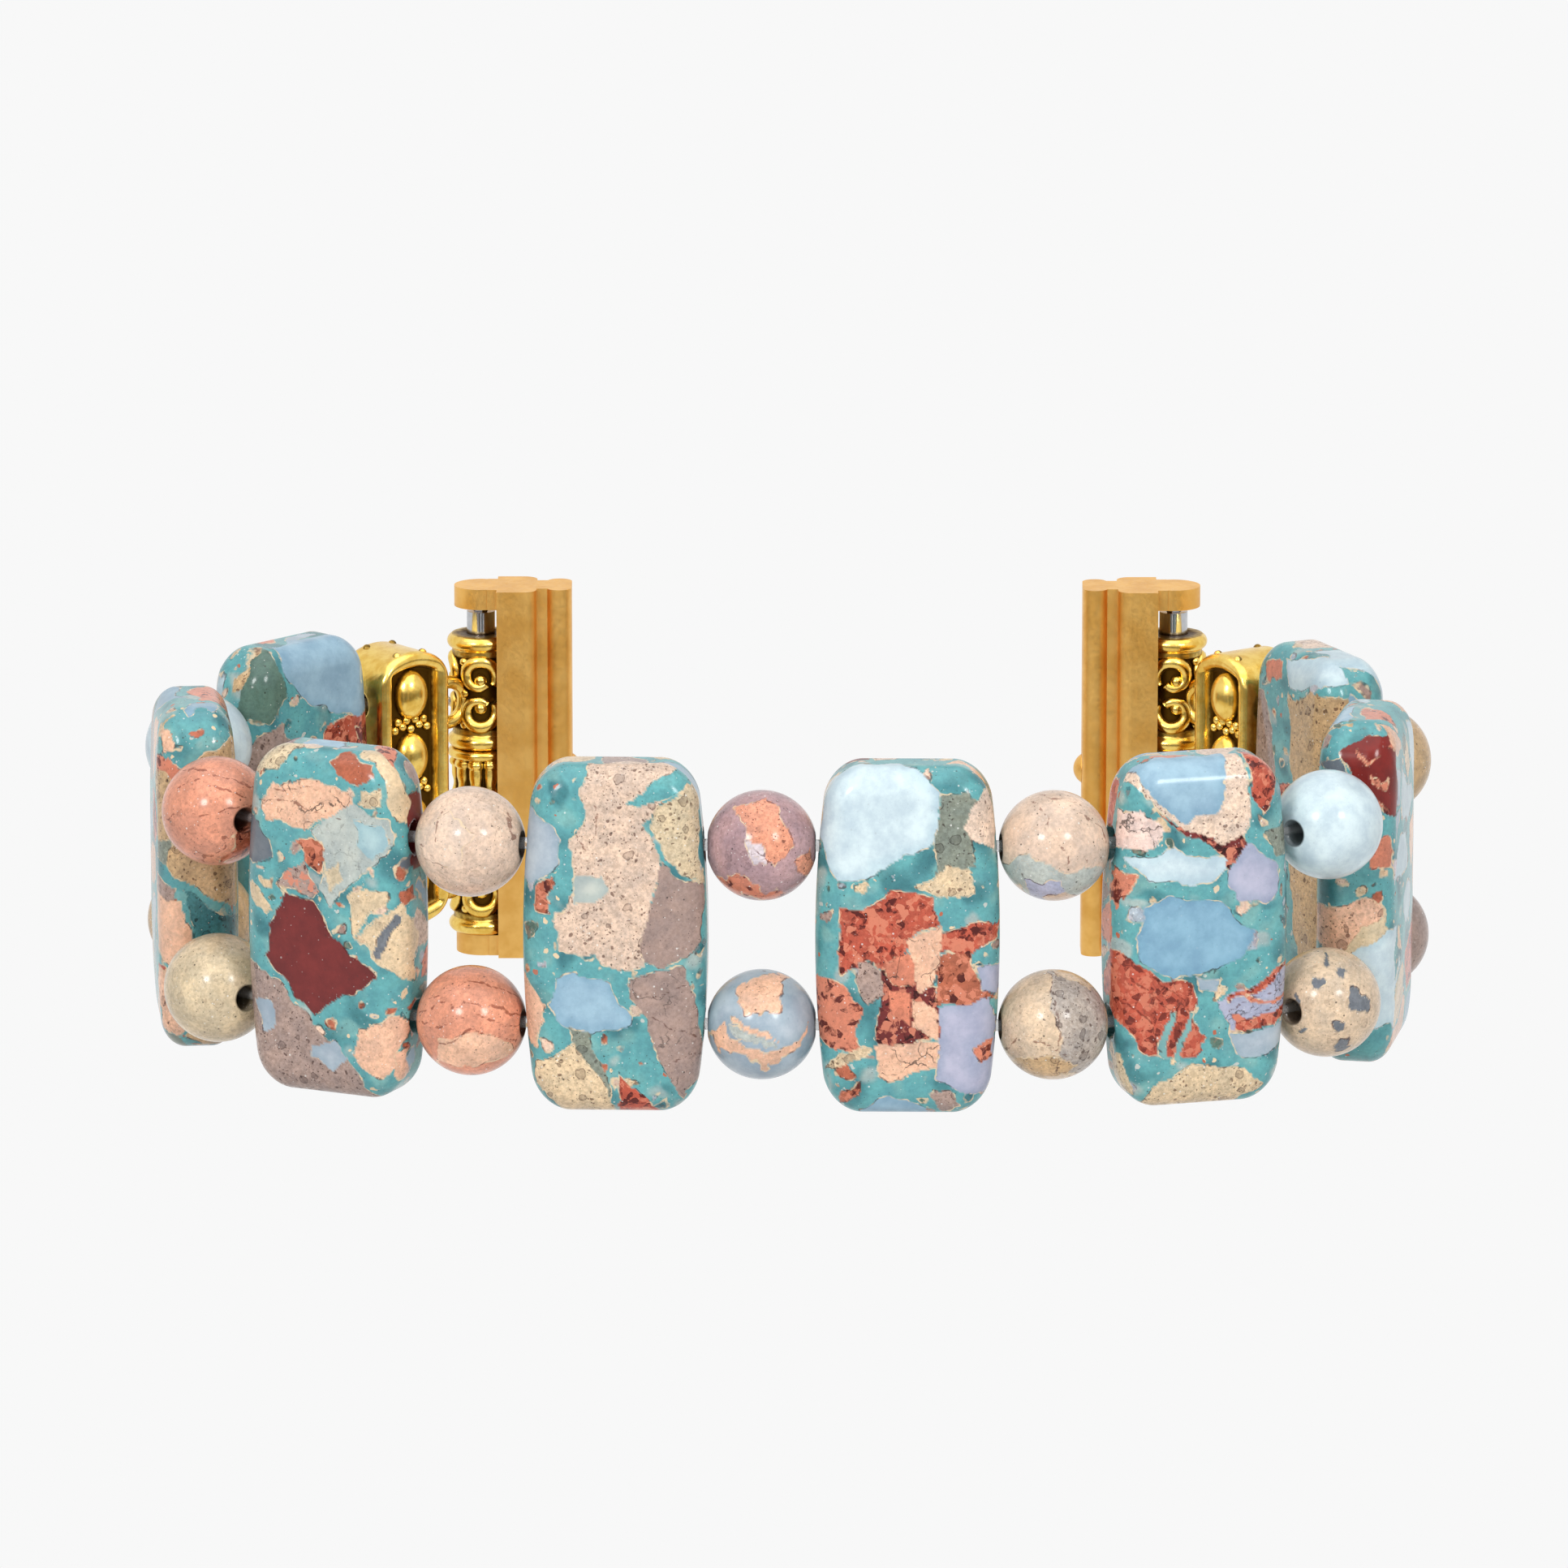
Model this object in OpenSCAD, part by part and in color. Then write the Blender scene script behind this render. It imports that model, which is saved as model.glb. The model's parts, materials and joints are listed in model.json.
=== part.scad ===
// Stretch watch band. Crowned stone slabs alternate with pairs of round stone beads on two elastic cords.
// Each end closes with a cast spacer bar, two looped bails and a spool on a spring bar, and a lug adapter.
// The band stands on its edge, bent round an open wrist space, with the front slab towards -Y.

/* [Stones] */
// Width of a slab at mid height, along the band
slab_w = 10.5; // [8:0.1:14]
// Width of a slab at its top and bottom edges
slab_end_w = 9; // [7:0.1:10]
// Height of a slab, across the band
slab_h = 20.3; // [17:0.1:26]
// Thickness of a slab at its middle
slab_t = 5; // [4:0.1:6.5]
// How far a slab's faces fall from the middle to the edge
slab_crown = 0.45; // [0.2:0.05:0.8]
// Radius of the slab's corners, seen from the front
slab_corner_r = 2.3; // [1:0.1:3]
// Radius of the slab's long and short edges
slab_edge_r = 1.6; // [0.8:0.1:1.8]
// Diameter of a round bead
round_d = 6.3; // [5:0.1:8]
// Distance between the two drilled holes of a slab
hole_spacing = 10.5; // [8:0.1:12]
// Diameter of the drilled holes
hole_d = 1.5; // [1.2:0.05:1.8]
// Diameter of the elastic cord
cord_d = 0.7; // [0.4:0.05:0.8]
// Space between a round bead and the slab beside it
face_gap = 0.1; // [0.05:0.01:0.3]

/* [Pose] */
// Heading of the left front slab, in degrees
front_heading = -2; // [-20:0.5:20]
// Bend at each pair of round beads, from the left end to the right end, in degrees
pair_bends = [49, 59, 23, 1, 16.5, 63, 36.5];
// Bend between the last slab and the spacer bar, left and right, in degrees
spacer_bends = [8, 10.5];
// Bend between the spacer bar and the bails, left and right, in degrees
bail_bends = [-2, 8];

/* [Spacer bar] */
// Width of the spacer bar, along the band
spacer_w = 5.2; // [4.6:0.1:7]
// Height of the spacer bar
spacer_h = 16.9; // [15.5:0.1:20]
// Thickness of the spacer bar
spacer_t = 4.4; // [4:0.1:6]
// Rise of the arched top and bottom edges
spacer_arch = 1; // [0.4:0.1:1.5]
// Radius of the spacer bar's corners, seen from the front
spacer_corner_r = 1; // [0.6:0.1:1.4]
// How far the spacer bar's broad faces fall from the middle to the edge
spacer_crown = 0.3; // [0.1:0.05:0.5]
// Radius of the spacer bar's long edges
spacer_edge_r = 1.4; // [0.8:0.1:1.6]
// Width of the raised border
border_w = 0.95; // [0.8:0.05:1.3]
// Depth of the sunk field inside the border
field_depth = 0.75; // [0.4:0.05:0.8]
// Width of a cabochon
cabochon_w = 2.3; // [1.6:0.1:2.6]
// Height of a cabochon
cabochon_h = 3.1; // [2.4:0.1:3.4]
// Distance between cabochons
cabochon_pitch = 3.85; // [3.5:0.05:4.2]
// Cabochons on each face
cabochon_count = 4; // [2:1:4]
// Depth of the slot that takes a bail's loop
slot_depth = 0.9; // [0.6:0.05:1.2]
// Diameter of the room for a cord's knot
knot_room = 2.2; // [1.8:0.1:2.4]
// Space between the spacer bar and the last slab
spacer_gap = 0.6; // [0.4:0.05:1]

/* [Bails and spool] */
// Diameter over the rims
rim_d = 4.1; // [3.6:0.1:5]
// Height of a rim
rim_h = 0.9; // [0.6:0.05:1.2]
// Diameter of a bail's barrel
barrel_d = 3.8; // [3.2:0.1:4]
// Height of a bail
bail_h = 7; // [6:0.1:7.5]
// Height of the spool between the bails
spool_h = 4.4; // [3:0.1:5]
// Wire diameter of the bail's loop
loop_wire = 0.8; // [0.6:0.05:1]
// Clear hole of the bail's loop
loop_hole = 1.7; // [1.5:0.05:2]
// How far the loop sits from mid height, towards the spool
loop_offset = 0.45; // [0:0.05:0.8]
// How much wider than the spring bar the mouths of a bore are
mouth_extra = 0.9; // [0.4:0.1:1.2]
// Depth of the mouths of a bore
mouth_depth = 1; // [0.5:0.1:1.5]
// Ribs round the spool
rib_count = 10; // [6:1:14]
// Diameter of a rib
rib_d = 0.7; // [0.5:0.05:0.9]

/* [Spring bar] */
// Diameter of the spring bar's tube
bar_d = 1.7; // [1.5:0.05:2]
// Wall of the tube
bar_wall = 0.25; // [0.2:0.05:0.3]
// Diameter of the sprung tips
tip_d = 0.8; // [0.6:0.05:0.9]
// Depth that a tip reaches into its ear
tip_reach = 0.85; // [0.5:0.05:1]
// Clearance between the tube's end and the ear
bar_end_gap = 0.35; // [0.2:0.05:0.5]

/* [Lug adapter] */
// Clear distance between the two ears
lug_gap = 20.2; // [19.5:0.1:24]
// Thickness of an ear
ear_t = 1.25; // [1.15:0.05:2]
// Radius of an ear's rounded end
ear_r = 1.6; // [1.2:0.1:2]
// Depth of the adapter's wall, front to back
wall_depth = 4.6; // [4:0.1:6]
// Distance from the spring bar's axis to the watch side of the wall
wall_reach = 3.4; // [3.2:0.1:4.5]
// Space between the bails and the wall's hollow face
hollow_gap = 0.45; // [0.3:0.05:0.8]
// Radius of the wall's two edges that face the watch
wall_corner_r = 0.8; // [0.4:0.1:1.2]
// Width of the tongue that slides into the case
tongue_w = 3.4; // [2.8:0.1:4]
// Thickness of the tongue
tongue_t = 1.5; // [1.2:0.1:2]
// Width of the neck between the wall and the tongue
neck_w = 2.4; // [2.2:0.1:2.6]
// Length of the neck
neck_t = 0.6; // [0.4:0.1:1]
// Diameter of the latch button
latch_d = 1.7; // [1.2:0.1:1.8]
// How far the latch button stands out of the tongue
latch_rise = 0.5; // [0.3:0.05:0.8]

/* [Clearances] */
// Radial clearance of the running and sliding fits
fit = 0.05; // [0.02:0.01:0.1]
// Space between faces that rest on each other
seat = 0.03; // [0.01:0.01:0.05]

/* [Hidden] */
$fn = 48;
bead_fn = 64;
bow_fn = 360;

// How far a cutting solid reaches past what it cuts, and how far a boss runs into what carries it
over = 1;
bite = 0.05;
ENDS = ["left", "right"];
LEVELS = ["lower", "upper"];
slab_count = len(pair_bends) + 1;
mid_pair = slab_count / 2;

// Heights
mid_z = ear_t + lug_gap / 2;
level_side = [-1, 1];
function hole_z(level) = level_side[level] * hole_spacing / 2;

// Slab and bead sizes that the plan needs
side_r = (slab_h * slab_h + pow(slab_w - slab_end_w, 2)) / (4 * (slab_w - slab_end_w));
slab_hole_w = slab_w - 2 * (side_r - sqrt(side_r * side_r - hole_spacing * hole_spacing / 4));
mouth_r = sqrt(round_d * round_d - hole_d * hole_d) / 2;
pair_to_slab = round_d / 2 + face_gap + slab_hole_w / 2;

// A bent pair lets the slabs slip outwards, so that their holes follow the bead's mouths
slip_share = 0.6;
function slip(pair) = slip_share * mouth_r * sin(pair_bends[pair - 1] / 2);

// Plan of the chain, walked out from the middle pair of beads
function ahead(a, d) = d * [cos(a), sin(a)];
function beside(a, d) = d * [sin(a), -cos(a)];
function heading(slab) =
    slab == mid_pair ? front_heading :
    slab > mid_pair ? heading(slab - 1) + pair_bends[slab - 2] :
    heading(slab + 1) - pair_bends[slab - 1];
function pair_heading(pair) = (heading(pair) + heading(pair + 1)) / 2;
function slab_at(slab) = slab > mid_pair ?
    pair_at(slab - 1) + ahead(heading(slab), pair_to_slab) + beside(heading(slab), slip(slab - 1)) :
    pair_at(slab) - ahead(heading(slab), pair_to_slab) + beside(heading(slab), slip(slab));
function pair_at(pair) = pair == mid_pair ? [0, 0] : pair > mid_pair ?
    slab_at(pair) + ahead(heading(pair), pair_to_slab) - beside(heading(pair), slip(pair)) :
    slab_at(pair + 1) - ahead(heading(pair + 1), pair_to_slab) - beside(heading(pair + 1), slip(pair));

// Hardware at the two ends, each with its own outward heading
end_slab = [1, slab_count];
end_turn = [-1, 1];
function slab_out(end) = heading(end_slab[end]) + (end == 0 ? 180 : 0);
function spacer_out(end) = slab_out(end) + end_turn[end] * spacer_bends[end];
function bail_out(end) = spacer_out(end) + end_turn[end] * bail_bends[end];
adapter_out = [0, 180];
loop_r = (loop_hole + loop_wire) / 2;
loop_sunk = 0.1;
loop_at = barrel_d / 2 + loop_hole / 2 - loop_sunk;
loop_limb = loop_at + loop_r;

// The loop's outer limb hangs this far outside the spacer bar's end face
limb_stand = 0.15;
function spacer_hinge(end) = slab_at(end_slab[end]) + ahead(slab_out(end), slab_w / 2 + spacer_gap / 2);
function spacer_at(end) = spacer_hinge(end) + ahead(spacer_out(end), spacer_gap / 2 + spacer_w / 2);
function limb_at(end) = spacer_at(end) + ahead(spacer_out(end), spacer_w / 2 + limb_stand);
function pin_at(end) = limb_at(end) + ahead(bail_out(end), loop_limb);

// The bails and the spool have slid down the bar and stand on the lower ear
stack_z = [-lug_gap / 2 + seat, -lug_gap / 2 + 3 * seat + bail_h + spool_h];
spool_z = -lug_gap / 2 + 2 * seat + bail_h + spool_h / 2;
function bail_z(level) = stack_z[level] + bail_h / 2;
function loop_z(level) = bail_z(level) - level_side[level] * loop_offset;

// The origin is the middle of the box round the band
crown_r = (slab_w * slab_w / 4 + slab_crown * slab_crown) / (2 * slab_crown);
edge_x = slab_w / 2 - slab_edge_r;
edge_y = slab_t / 2 - crown_r + sqrt(pow(crown_r - slab_edge_r, 2) - edge_x * edge_x);
crown_turn = asin(edge_x / (crown_r - slab_edge_r));
function fold(a) = abs(((a % 180) + 270) % 180 - 90);
function slab_reach(a) = fold(a) < crown_turn ?
    crown_r - (crown_r - slab_t / 2) * cos(fold(a)) :
    edge_x * sin(fold(a)) + edge_y * cos(fold(a)) + slab_edge_r;
slabs = [for (i = [1 : slab_count]) i];
low_x = min([for (i = slabs) slab_at(i)[0] - slab_reach(heading(i) - 90)]);
high_x = max([for (i = slabs) slab_at(i)[0] + slab_reach(heading(i) - 90)]);
low_y = min([for (i = slabs) slab_at(i)[1] - slab_reach(heading(i))]);
high_y = max([for (end = [0, 1]) pin_at(end)[1] + wall_depth / 2]);
centre = [(low_x + high_x) / 2, (low_y + high_y) / 2];

// Spring bar and latch sizes
bar_bore = bar_d - 2 * bar_wall;
bar_length = lug_gap - 2 * bar_end_gap;
mouth_wall = 0.4;
tip_head = 1;
bar_spring_wire = 0.16;
bar_spring_turns = 14;
bar_spring_length = bar_length - 2 * (mouth_wall + tip_head) - 4 * seat;
tongue_face = wall_reach + neck_t + tongue_t;
latch_pocket = 2;
latch_body = 1.2;
latch_spring_wire = 0.18;
latch_spring_turns = 4;
latch_spring_inset = 0.25;
latch_spring_length = latch_pocket - latch_body + latch_rise - 2 * seat;

SLABS = [for (i = slabs) str("slab_", i)];
ROUNDS = [for (level = LEVELS, i = [1 : slab_count - 1]) str("round_", level, "_", i)];
PAIRED = ["spacer_bar", "lower_bail", "upper_bail", "middle_spool", "lug_adapter", "spring_bar_tube",
    "spring_bar_spring", "lower_bar_tip", "upper_bar_tip", "latch_button", "latch_spring"];

// A rectangle with straight ends, bowed long sides and corners that meet the bow smoothly
module crowned(length, width, crown, r) {
    bow_r = (length * length / 4 + crown * crown) / (2 * crown);
    cx = length / 2 - r;
    cy = width / 2 - bow_r + sqrt(pow(bow_r - r, 2) - cx * cx);
    lean = asin(cx / (bow_r - r));
    difference() {
        intersection() {
            square([length, width], center = true);
            inside_bow(length, width, bow_r);
            mirror([0, 1]) inside_bow(length, width, bow_r);
        }
        for (right = [0, 1], top = [0, 1])
            mirror([right, 0]) mirror([0, top]) difference() {
                polygon([[cx, cy], [cx + 2 * r, cy], [cx + 2 * r, cy + 2 * r],
                    [cx + 2 * r * sin(lean), cy + 2 * r * cos(lean)]]);
                translate([cx, cy]) circle(r);
            }
    }
}

// Everything on the near side of one bowed edge
module inside_bow(length, width, bow_r) {
    translate([0, width / 2 - bow_r]) circle(bow_r, $fn = bow_fn);
    translate([-length / 2, -width]) square([length, max(width * 1.5 - bow_r, 0.1)]);
}

// A rectangle with bowed long sides and sharp corners
module arched(length, width, crown) {
    bow_r = (length * length / 4 + crown * crown) / (2 * crown);
    intersection() {
        square([length, width], center = true);
        inside_bow(length, width, bow_r);
        mirror([0, 1]) inside_bow(length, width, bow_r);
    }
}

// A solid with a crowned outline from the front, from above and from the side
module pillow(w, h, t, bulge, crown, corner_r, edge_r) {
    intersection() {
        rotate([90, 90, 0]) linear_extrude(t + over, center = true) crowned(h, w, bulge, corner_r);
        linear_extrude(h + over, center = true) crowned(w, t, crown, edge_r);
        rotate([90, 90, 90]) linear_extrude(w + over, center = true) crowned(h, t, crown, edge_r);
    }
}

// A drilled hole along the band
module drilled(length) {
    rotate([0, 90, 0]) cylinder(d = hole_d, h = length, center = true);
}

// In the slab's own frame: +X along the band, -Y outwards
module at_slab(i) {
    translate([slab_at(i)[0] - centre[0], slab_at(i)[1] - centre[1], mid_z])
        rotate([0, 0, heading(i)]) children();
}

// Between the two beads of a pair, with +X along the band
module at_pair(i) {
    translate([pair_at(i)[0] - centre[0], pair_at(i)[1] - centre[1], mid_z])
        rotate([0, 0, pair_heading(i)]) children();
}

// In the spacer bar's middle, with +X towards the bails
module at_spacer(end) {
    translate([spacer_at(end)[0] - centre[0], spacer_at(end)[1] - centre[1], mid_z])
        rotate([0, 0, spacer_out(end)]) children();
}

// On the spring bar's axis, with +X from the bails towards the spacer bar
module at_bail(end) {
    translate([pin_at(end)[0] - centre[0], pin_at(end)[1] - centre[1], mid_z])
        rotate([0, 0, bail_out(end) + 180]) children();
}

// On the spring bar's axis, with +X towards the watch
module at_adapter(end) {
    translate([pin_at(end)[0] - centre[0], pin_at(end)[1] - centre[1], mid_z])
        rotate([0, 0, adapter_out[end]]) children();
}

// Stone slab with two drilled holes
module slab(i) {
    shades = ["#6fa7a0", "#5fa39d", "#8a5d52", "#74a8a2", "#a9c4c6", "#9dbcc4", "#4f9c97", "#8fae9f"];
    color(shades[(i - 1) % len(shades)]) at_slab(i) difference() {
        pillow(slab_w, slab_h, slab_t, (slab_w - slab_end_w) / 2, slab_crown, slab_corner_r, slab_edge_r);
        for (level = [0, 1]) translate([0, 0, hole_z(level)]) drilled(slab_w + over);
    }
}

// Round stone bead, drilled through
module round_bead(level, i) {
    shades = [["#cfae86", "#b3ad85", "#dc9a76", "#9fb1bd", "#cfc1a6", "#c9a779", "#a58263"],
        ["#bcd3d2", "#dfa777", "#dcc2a4", "#a79aa6", "#d8c6ae", "#cfe0de", "#d5b98c"]];
    color(shades[level][(i - 1) % len(shades[level])]) at_pair(i) translate([0, 0, hole_z(level)])
        rotate([0, 90, 0]) rotate_extrude($fn = bead_fn) difference() {
            circle(d = round_d);
            translate([hole_d / 2 - round_d, -round_d / 2]) square(round_d);
        }
}

// Cast spacer bar: arched border, sunk fields with cabochons, two cord holes, and a slot for each bail's loop
module spacer_bar(end) {
    field_y = spacer_t / 2 - field_depth;
    field_arch_share = 0.7;
    slot_play = 0.5;
    slot_w = loop_wire + 2 * cord_d + slot_play;
    color("#c9a24a") at_spacer(end) {
        difference() {
            intersection() {
                rotate([90, 0, 0]) linear_extrude(spacer_t + over, center = true)
                    crowned(spacer_w, spacer_h, spacer_arch, spacer_corner_r);
                linear_extrude(spacer_h + over, center = true)
                    crowned(spacer_w, spacer_t, spacer_crown, spacer_edge_r);
            }
            for (face = [-1, 1]) translate([0, face * (field_y + field_depth), 0]) rotate([90, 0, 0])
                linear_extrude(2 * field_depth, center = true)
                    arched(spacer_w - 2 * border_w, spacer_h - 2 * border_w, spacer_arch * field_arch_share);
            for (level = [0, 1]) {
                translate([0, 0, hole_z(level)]) drilled(spacer_w + over);
                translate([spacer_w / 2 - slot_depth - knot_room, 0, hole_z(level)])
                    rotate([0, 90, 0]) cylinder(d = knot_room, h = knot_room + slot_depth / 2);
                slot_low = min(loop_z(level) - loop_r, hole_z(level) - hole_d / 2);
                slot_high = max(loop_z(level) + loop_r, hole_z(level) + hole_d / 2);
                translate([spacer_w / 2 - slot_depth, -slot_w / 2, slot_low])
                    cube([slot_depth + over, slot_w, slot_high - slot_low]);
            }
        }
        for (face = [-1, 1], k = [0 : cabochon_count - 1])
            translate([0, face * field_y, (k - (cabochon_count - 1) / 2) * cabochon_pitch])
                cabochon(face);
    }
}

// Long domed boss that stands out of the field
module cabochon(face) {
    run = cabochon_h - cabochon_w;
    intersection() {
        union() {
            for (s = [-1, 1]) translate([0, 0, s * run / 2]) sphere(d = cabochon_w);
            cylinder(d = cabochon_w, h = run, center = true);
        }
        translate([0, face * cabochon_w / 4, 0])
            cube([cabochon_w, cabochon_w / 2 + 2 * bite, cabochon_h], center = true);
    }
}

// Rounded rim at one end of a bail or spool, drawn from the axis outwards
module rim_profile(z) {
    translate([rim_d / 2 - rim_h / 2, z]) circle(d = rim_h);
    translate([bar_d / 2, z - rim_h / 2]) square([rim_d / 2 - rim_h / 2 - bar_d / 2, rim_h]);
}

// Turned body with two rims, a close bore and wide mouths
module turned_body(height, core_d) {
    difference() {
        rotate_extrude() {
            rim_profile(height / 2 - rim_h / 2);
            rim_profile(rim_h / 2 - height / 2);
            translate([bar_d / 2, -height / 2 + rim_h / 2]) square([core_d / 2 - bar_d / 2, height - rim_h]);
        }
        cylinder(d = bar_d + 2 * fit, h = height + over, center = true);
        for (s = [-1, 1]) translate([0, 0, s * height / 2])
            cylinder(d = bar_d + mouth_extra, h = 2 * mouth_depth, center = true);
    }
}

// Bail: a turned barrel with a loop at its side for the elastic cord
module bail(end, level) {
    limb_clear = 1;
    color("#cfa345") at_bail(end) translate([0, 0, bail_z(level)]) {
        turned_body(bail_h, barrel_d);
        difference() {
            translate([loop_at, 0, loop_z(level) - bail_z(level)]) rotate([90, 0, 0])
                rotate_extrude() translate([loop_r, 0]) circle(d = loop_wire);
            cylinder(d = bar_d + limb_clear, h = bail_h, center = true);
        }
    }
}

// Ribbed spool between the two bails
module middle_spool(end) {
    core_d = barrel_d - rib_d;
    color("#c89a3d") at_bail(end) translate([0, 0, spool_z]) {
        turned_body(spool_h, core_d);
        for (k = [0 : rib_count - 1]) rotate([0, 0, k * 360 / rib_count]) translate([core_d / 2, 0, 0])
            cylinder(d = rib_d, h = spool_h - rim_h, center = true);
    }
}

// Tube of the spring bar, with mouths closed in round the tips
module spring_bar_tube(end) {
    color("#b9bcc0") at_adapter(end) difference() {
        cylinder(d = bar_d, h = bar_length, center = true);
        cylinder(d = bar_bore, h = bar_length - 2 * mouth_wall, center = true);
        cylinder(d = tip_d + 2 * fit, h = bar_length + over, center = true);
    }
}

// Sprung tip with its head inside the tube and its nose in the ear
module bar_tip(end, level) {
    head_d = bar_bore - 2 * fit;
    head_z = bar_length / 2 - mouth_wall - seat;
    color("#d5d7da") at_adapter(end) mirror([0, 0, level == 0 ? 1 : 0]) {
        translate([0, 0, head_z - tip_head]) cylinder(d = head_d, h = tip_head);
        translate([0, 0, head_z - tip_head / 2])
            cylinder(d = tip_d, h = tip_head / 2 + seat + mouth_wall + bar_end_gap + tip_reach);
    }
}

// Coil spring drawn as one swept wire along +Z from the origin
module coil(mean_r, wire_d, length, turns) {
    steps = 8;
    sides = 5;
    count = turns * steps;
    rise = length - wire_d;
    path = [for (k = [0 : count])
        [mean_r * cos(360 * k / steps), mean_r * sin(360 * k / steps), wire_d / 2 + rise * k / count]];
    swept_tube(path, [for (k = [0 : count]) wire_d / 2], sides);
}

// Coil spring between the two tips, inside the tube
module spring_bar_spring(end) {
    color("#9a9da2") at_adapter(end) translate([0, 0, -bar_spring_length / 2])
        coil((bar_bore - bar_spring_wire) / 2 - fit, bar_spring_wire, bar_spring_length, bar_spring_turns);
}

// Lug adapter: hollow-faced wall, two ears for the spring bar, and the tongue that slides into the case
module lug_adapter(end) {
    hollow_r = rim_d / 2 + hollow_gap;
    wall_front = hollow_r * 0.4;
    ear_start = 0.4;
    neck_bite = 0.5;
    hole_lead = 0.1;
    full_h = lug_gap + 2 * ear_t;
    tongue_x = wall_reach + neck_t + tongue_t / 2;
    color("#d9a866") at_adapter(end) difference() {
        union() {
            difference() {
                translate([wall_front, -wall_depth / 2, -full_h / 2])
                    cube([wall_reach - wall_front, wall_depth, full_h]);
                cylinder(r = hollow_r, h = lug_gap, center = true);
                wall_corners(wall_front, full_h);
            }
            for (s = [-1, 1]) translate([0, 0, s * (lug_gap + ear_t) / 2]) {
                cylinder(r = ear_r, h = ear_t, center = true);
                translate([(wall_reach + ear_start) / 2, 0, 0])
                    cube([wall_reach - ear_start, 2 * ear_r, ear_t], center = true);
            }
            translate([wall_reach - neck_bite, -neck_w / 2, -full_h / 2])
                cube([neck_t + 2 * neck_bite, neck_w, full_h]);
            translate([tongue_x, 0, 0]) {
                cube([tongue_t, tongue_w - tongue_t, full_h], center = true);
                for (s = [-1, 1]) translate([0, s * (tongue_w - tongue_t) / 2, 0])
                    cylinder(d = tongue_t, h = full_h, center = true);
            }
        }
        for (s = [-1, 1]) translate([0, 0, s * (lug_gap + tip_reach + fit - hole_lead) / 2])
            cylinder(d = tip_d + 2 * fit, h = tip_reach + fit + hole_lead, center = true);
        translate([tongue_face - latch_pocket, 0, 0]) rotate([0, 90, 0])
            cylinder(d = latch_d + 2 * fit, h = latch_pocket + over);
    }
}

// What rounding takes off the two edges of the wall that face the watch
module wall_corners(wall_front, full_h) {
    r = wall_corner_r;
    for (s = [-1, 1]) translate([wall_reach - r, s * (wall_depth / 2 - r), 0]) difference() {
        translate([0, s > 0 ? 0 : -r - over, -full_h / 2 - over]) cube([r + over, r + over, full_h + 2 * over]);
        cylinder(r = r, h = full_h + 3 * over, center = true);
    }
}

// Latch button with a domed nose
module latch_button(end) {
    nose_share = 0.6;
    nose_r = latch_d * nose_share;
    color("#c7cacd") at_adapter(end) translate([tongue_face, 0, 0]) rotate([0, 90, 0])
        intersection() {
            translate([0, 0, latch_rise - latch_body]) cylinder(d = latch_d, h = latch_body);
            translate([0, 0, latch_rise - nose_r]) union() {
                sphere(r = nose_r);
                translate([0, 0, -latch_body]) cylinder(r = nose_r, h = latch_body);
            }
        }
}

// Coil spring behind the latch button
module latch_spring(end) {
    color("#9a9da2") at_adapter(end) translate([tongue_face - latch_pocket + seat, 0, 0])
        rotate([0, 90, 0])
            coil(latch_d / 2 - latch_spring_inset, latch_spring_wire, latch_spring_length, latch_spring_turns);
}

// Route of a cord in plan and height: the middle of every slab, the mouths of every bead and its middle
function mouth_point(pair, side) =
    let (p = pair_at(pair), h = heading(side < 0 ? pair : pair + 1),
        bead = p + side * ahead(pair_heading(pair), mouth_r + face_gap / 2),
        stone = p + side * ahead(h, round_d / 2 + face_gap) + beside(h, slip(pair)))
    (bead + stone) / 2;
function lift(p, z) = [p[0] - centre[0], p[1] - centre[1], mid_z + z];
function slab_run(i, z) =
    let (before = i > 1 ? [mouth_point(i - 1, 1)] : [], after = i < slab_count ? [mouth_point(i, -1)] : [])
    [for (p = concat(before, [slab_at(i)], after)) lift(p, z)];
function bead_run(i, z) = i < slab_count ? [lift(pair_at(i), z)] : [];
function chain_run(z) = [for (i = slabs, p = concat(slab_run(i, z), bead_run(i, z))) p];

// Route through one end's spacer bar, round the limb of the bail's loop and back to the knot. Its points are
// chosen by hand, in millimetres from the bar's middle, so that the two runs pass each other in the hole.
limb_sink = 0.55;
limb_gap = 0.1;
function end_point(end, x, y, z) =
    lift(spacer_at(end) + ahead(spacer_out(end), x) - beside(spacer_out(end), y), z);
function end_run(end, level) =
    let (z = hole_z(level), sink = z - limb_sink, turn_r = loop_wire / 2 + cord_d / 2 + limb_gap,
        limb_x = spacer_w / 2 + limb_stand, turned = bail_out(end) - spacer_out(end))
    concat([end_point(end, -spacer_w / 2, 0, z), end_point(end, -spacer_w / 4, 0, z),
            end_point(end, 0.3, -0.4, z), end_point(end, spacer_w / 2 - 1, -0.5, z - 0.1)],
        [for (a = [-90 : 30 : 90])
            end_point(end, limb_x + turn_r * cos(a + turned / 2), turn_r * sin(a + turned / 2), sink)],
        [end_point(end, spacer_w / 2 - 1, 0.5, z - 0.1), end_point(end, 1.1, 0.45, z),
            end_point(end, 0.8, 0.45, z), end_point(end, 0.1, 0.4, z)]);
function backwards(list) = [for (k = [len(list) - 1 : -1 : 0]) list[k]];
function cord_route(level) = concat(backwards(end_run(0, level)), chain_run(hole_z(level)), end_run(1, level));

// Elastic cord, whole from knot to knot, a little thicker at the knots
module elastic_cord(level) {
    route = cord_route(level);
    last = len(route) - 1;
    knot_share = 0.68;
    sides = 8;
    radii = [for (k = [0 : last]) k < 2 || k > last - 2 ? cord_d * knot_share : cord_d / 2];
    color("#dfe6e8") swept_tube(route, radii, sides);
}

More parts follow.
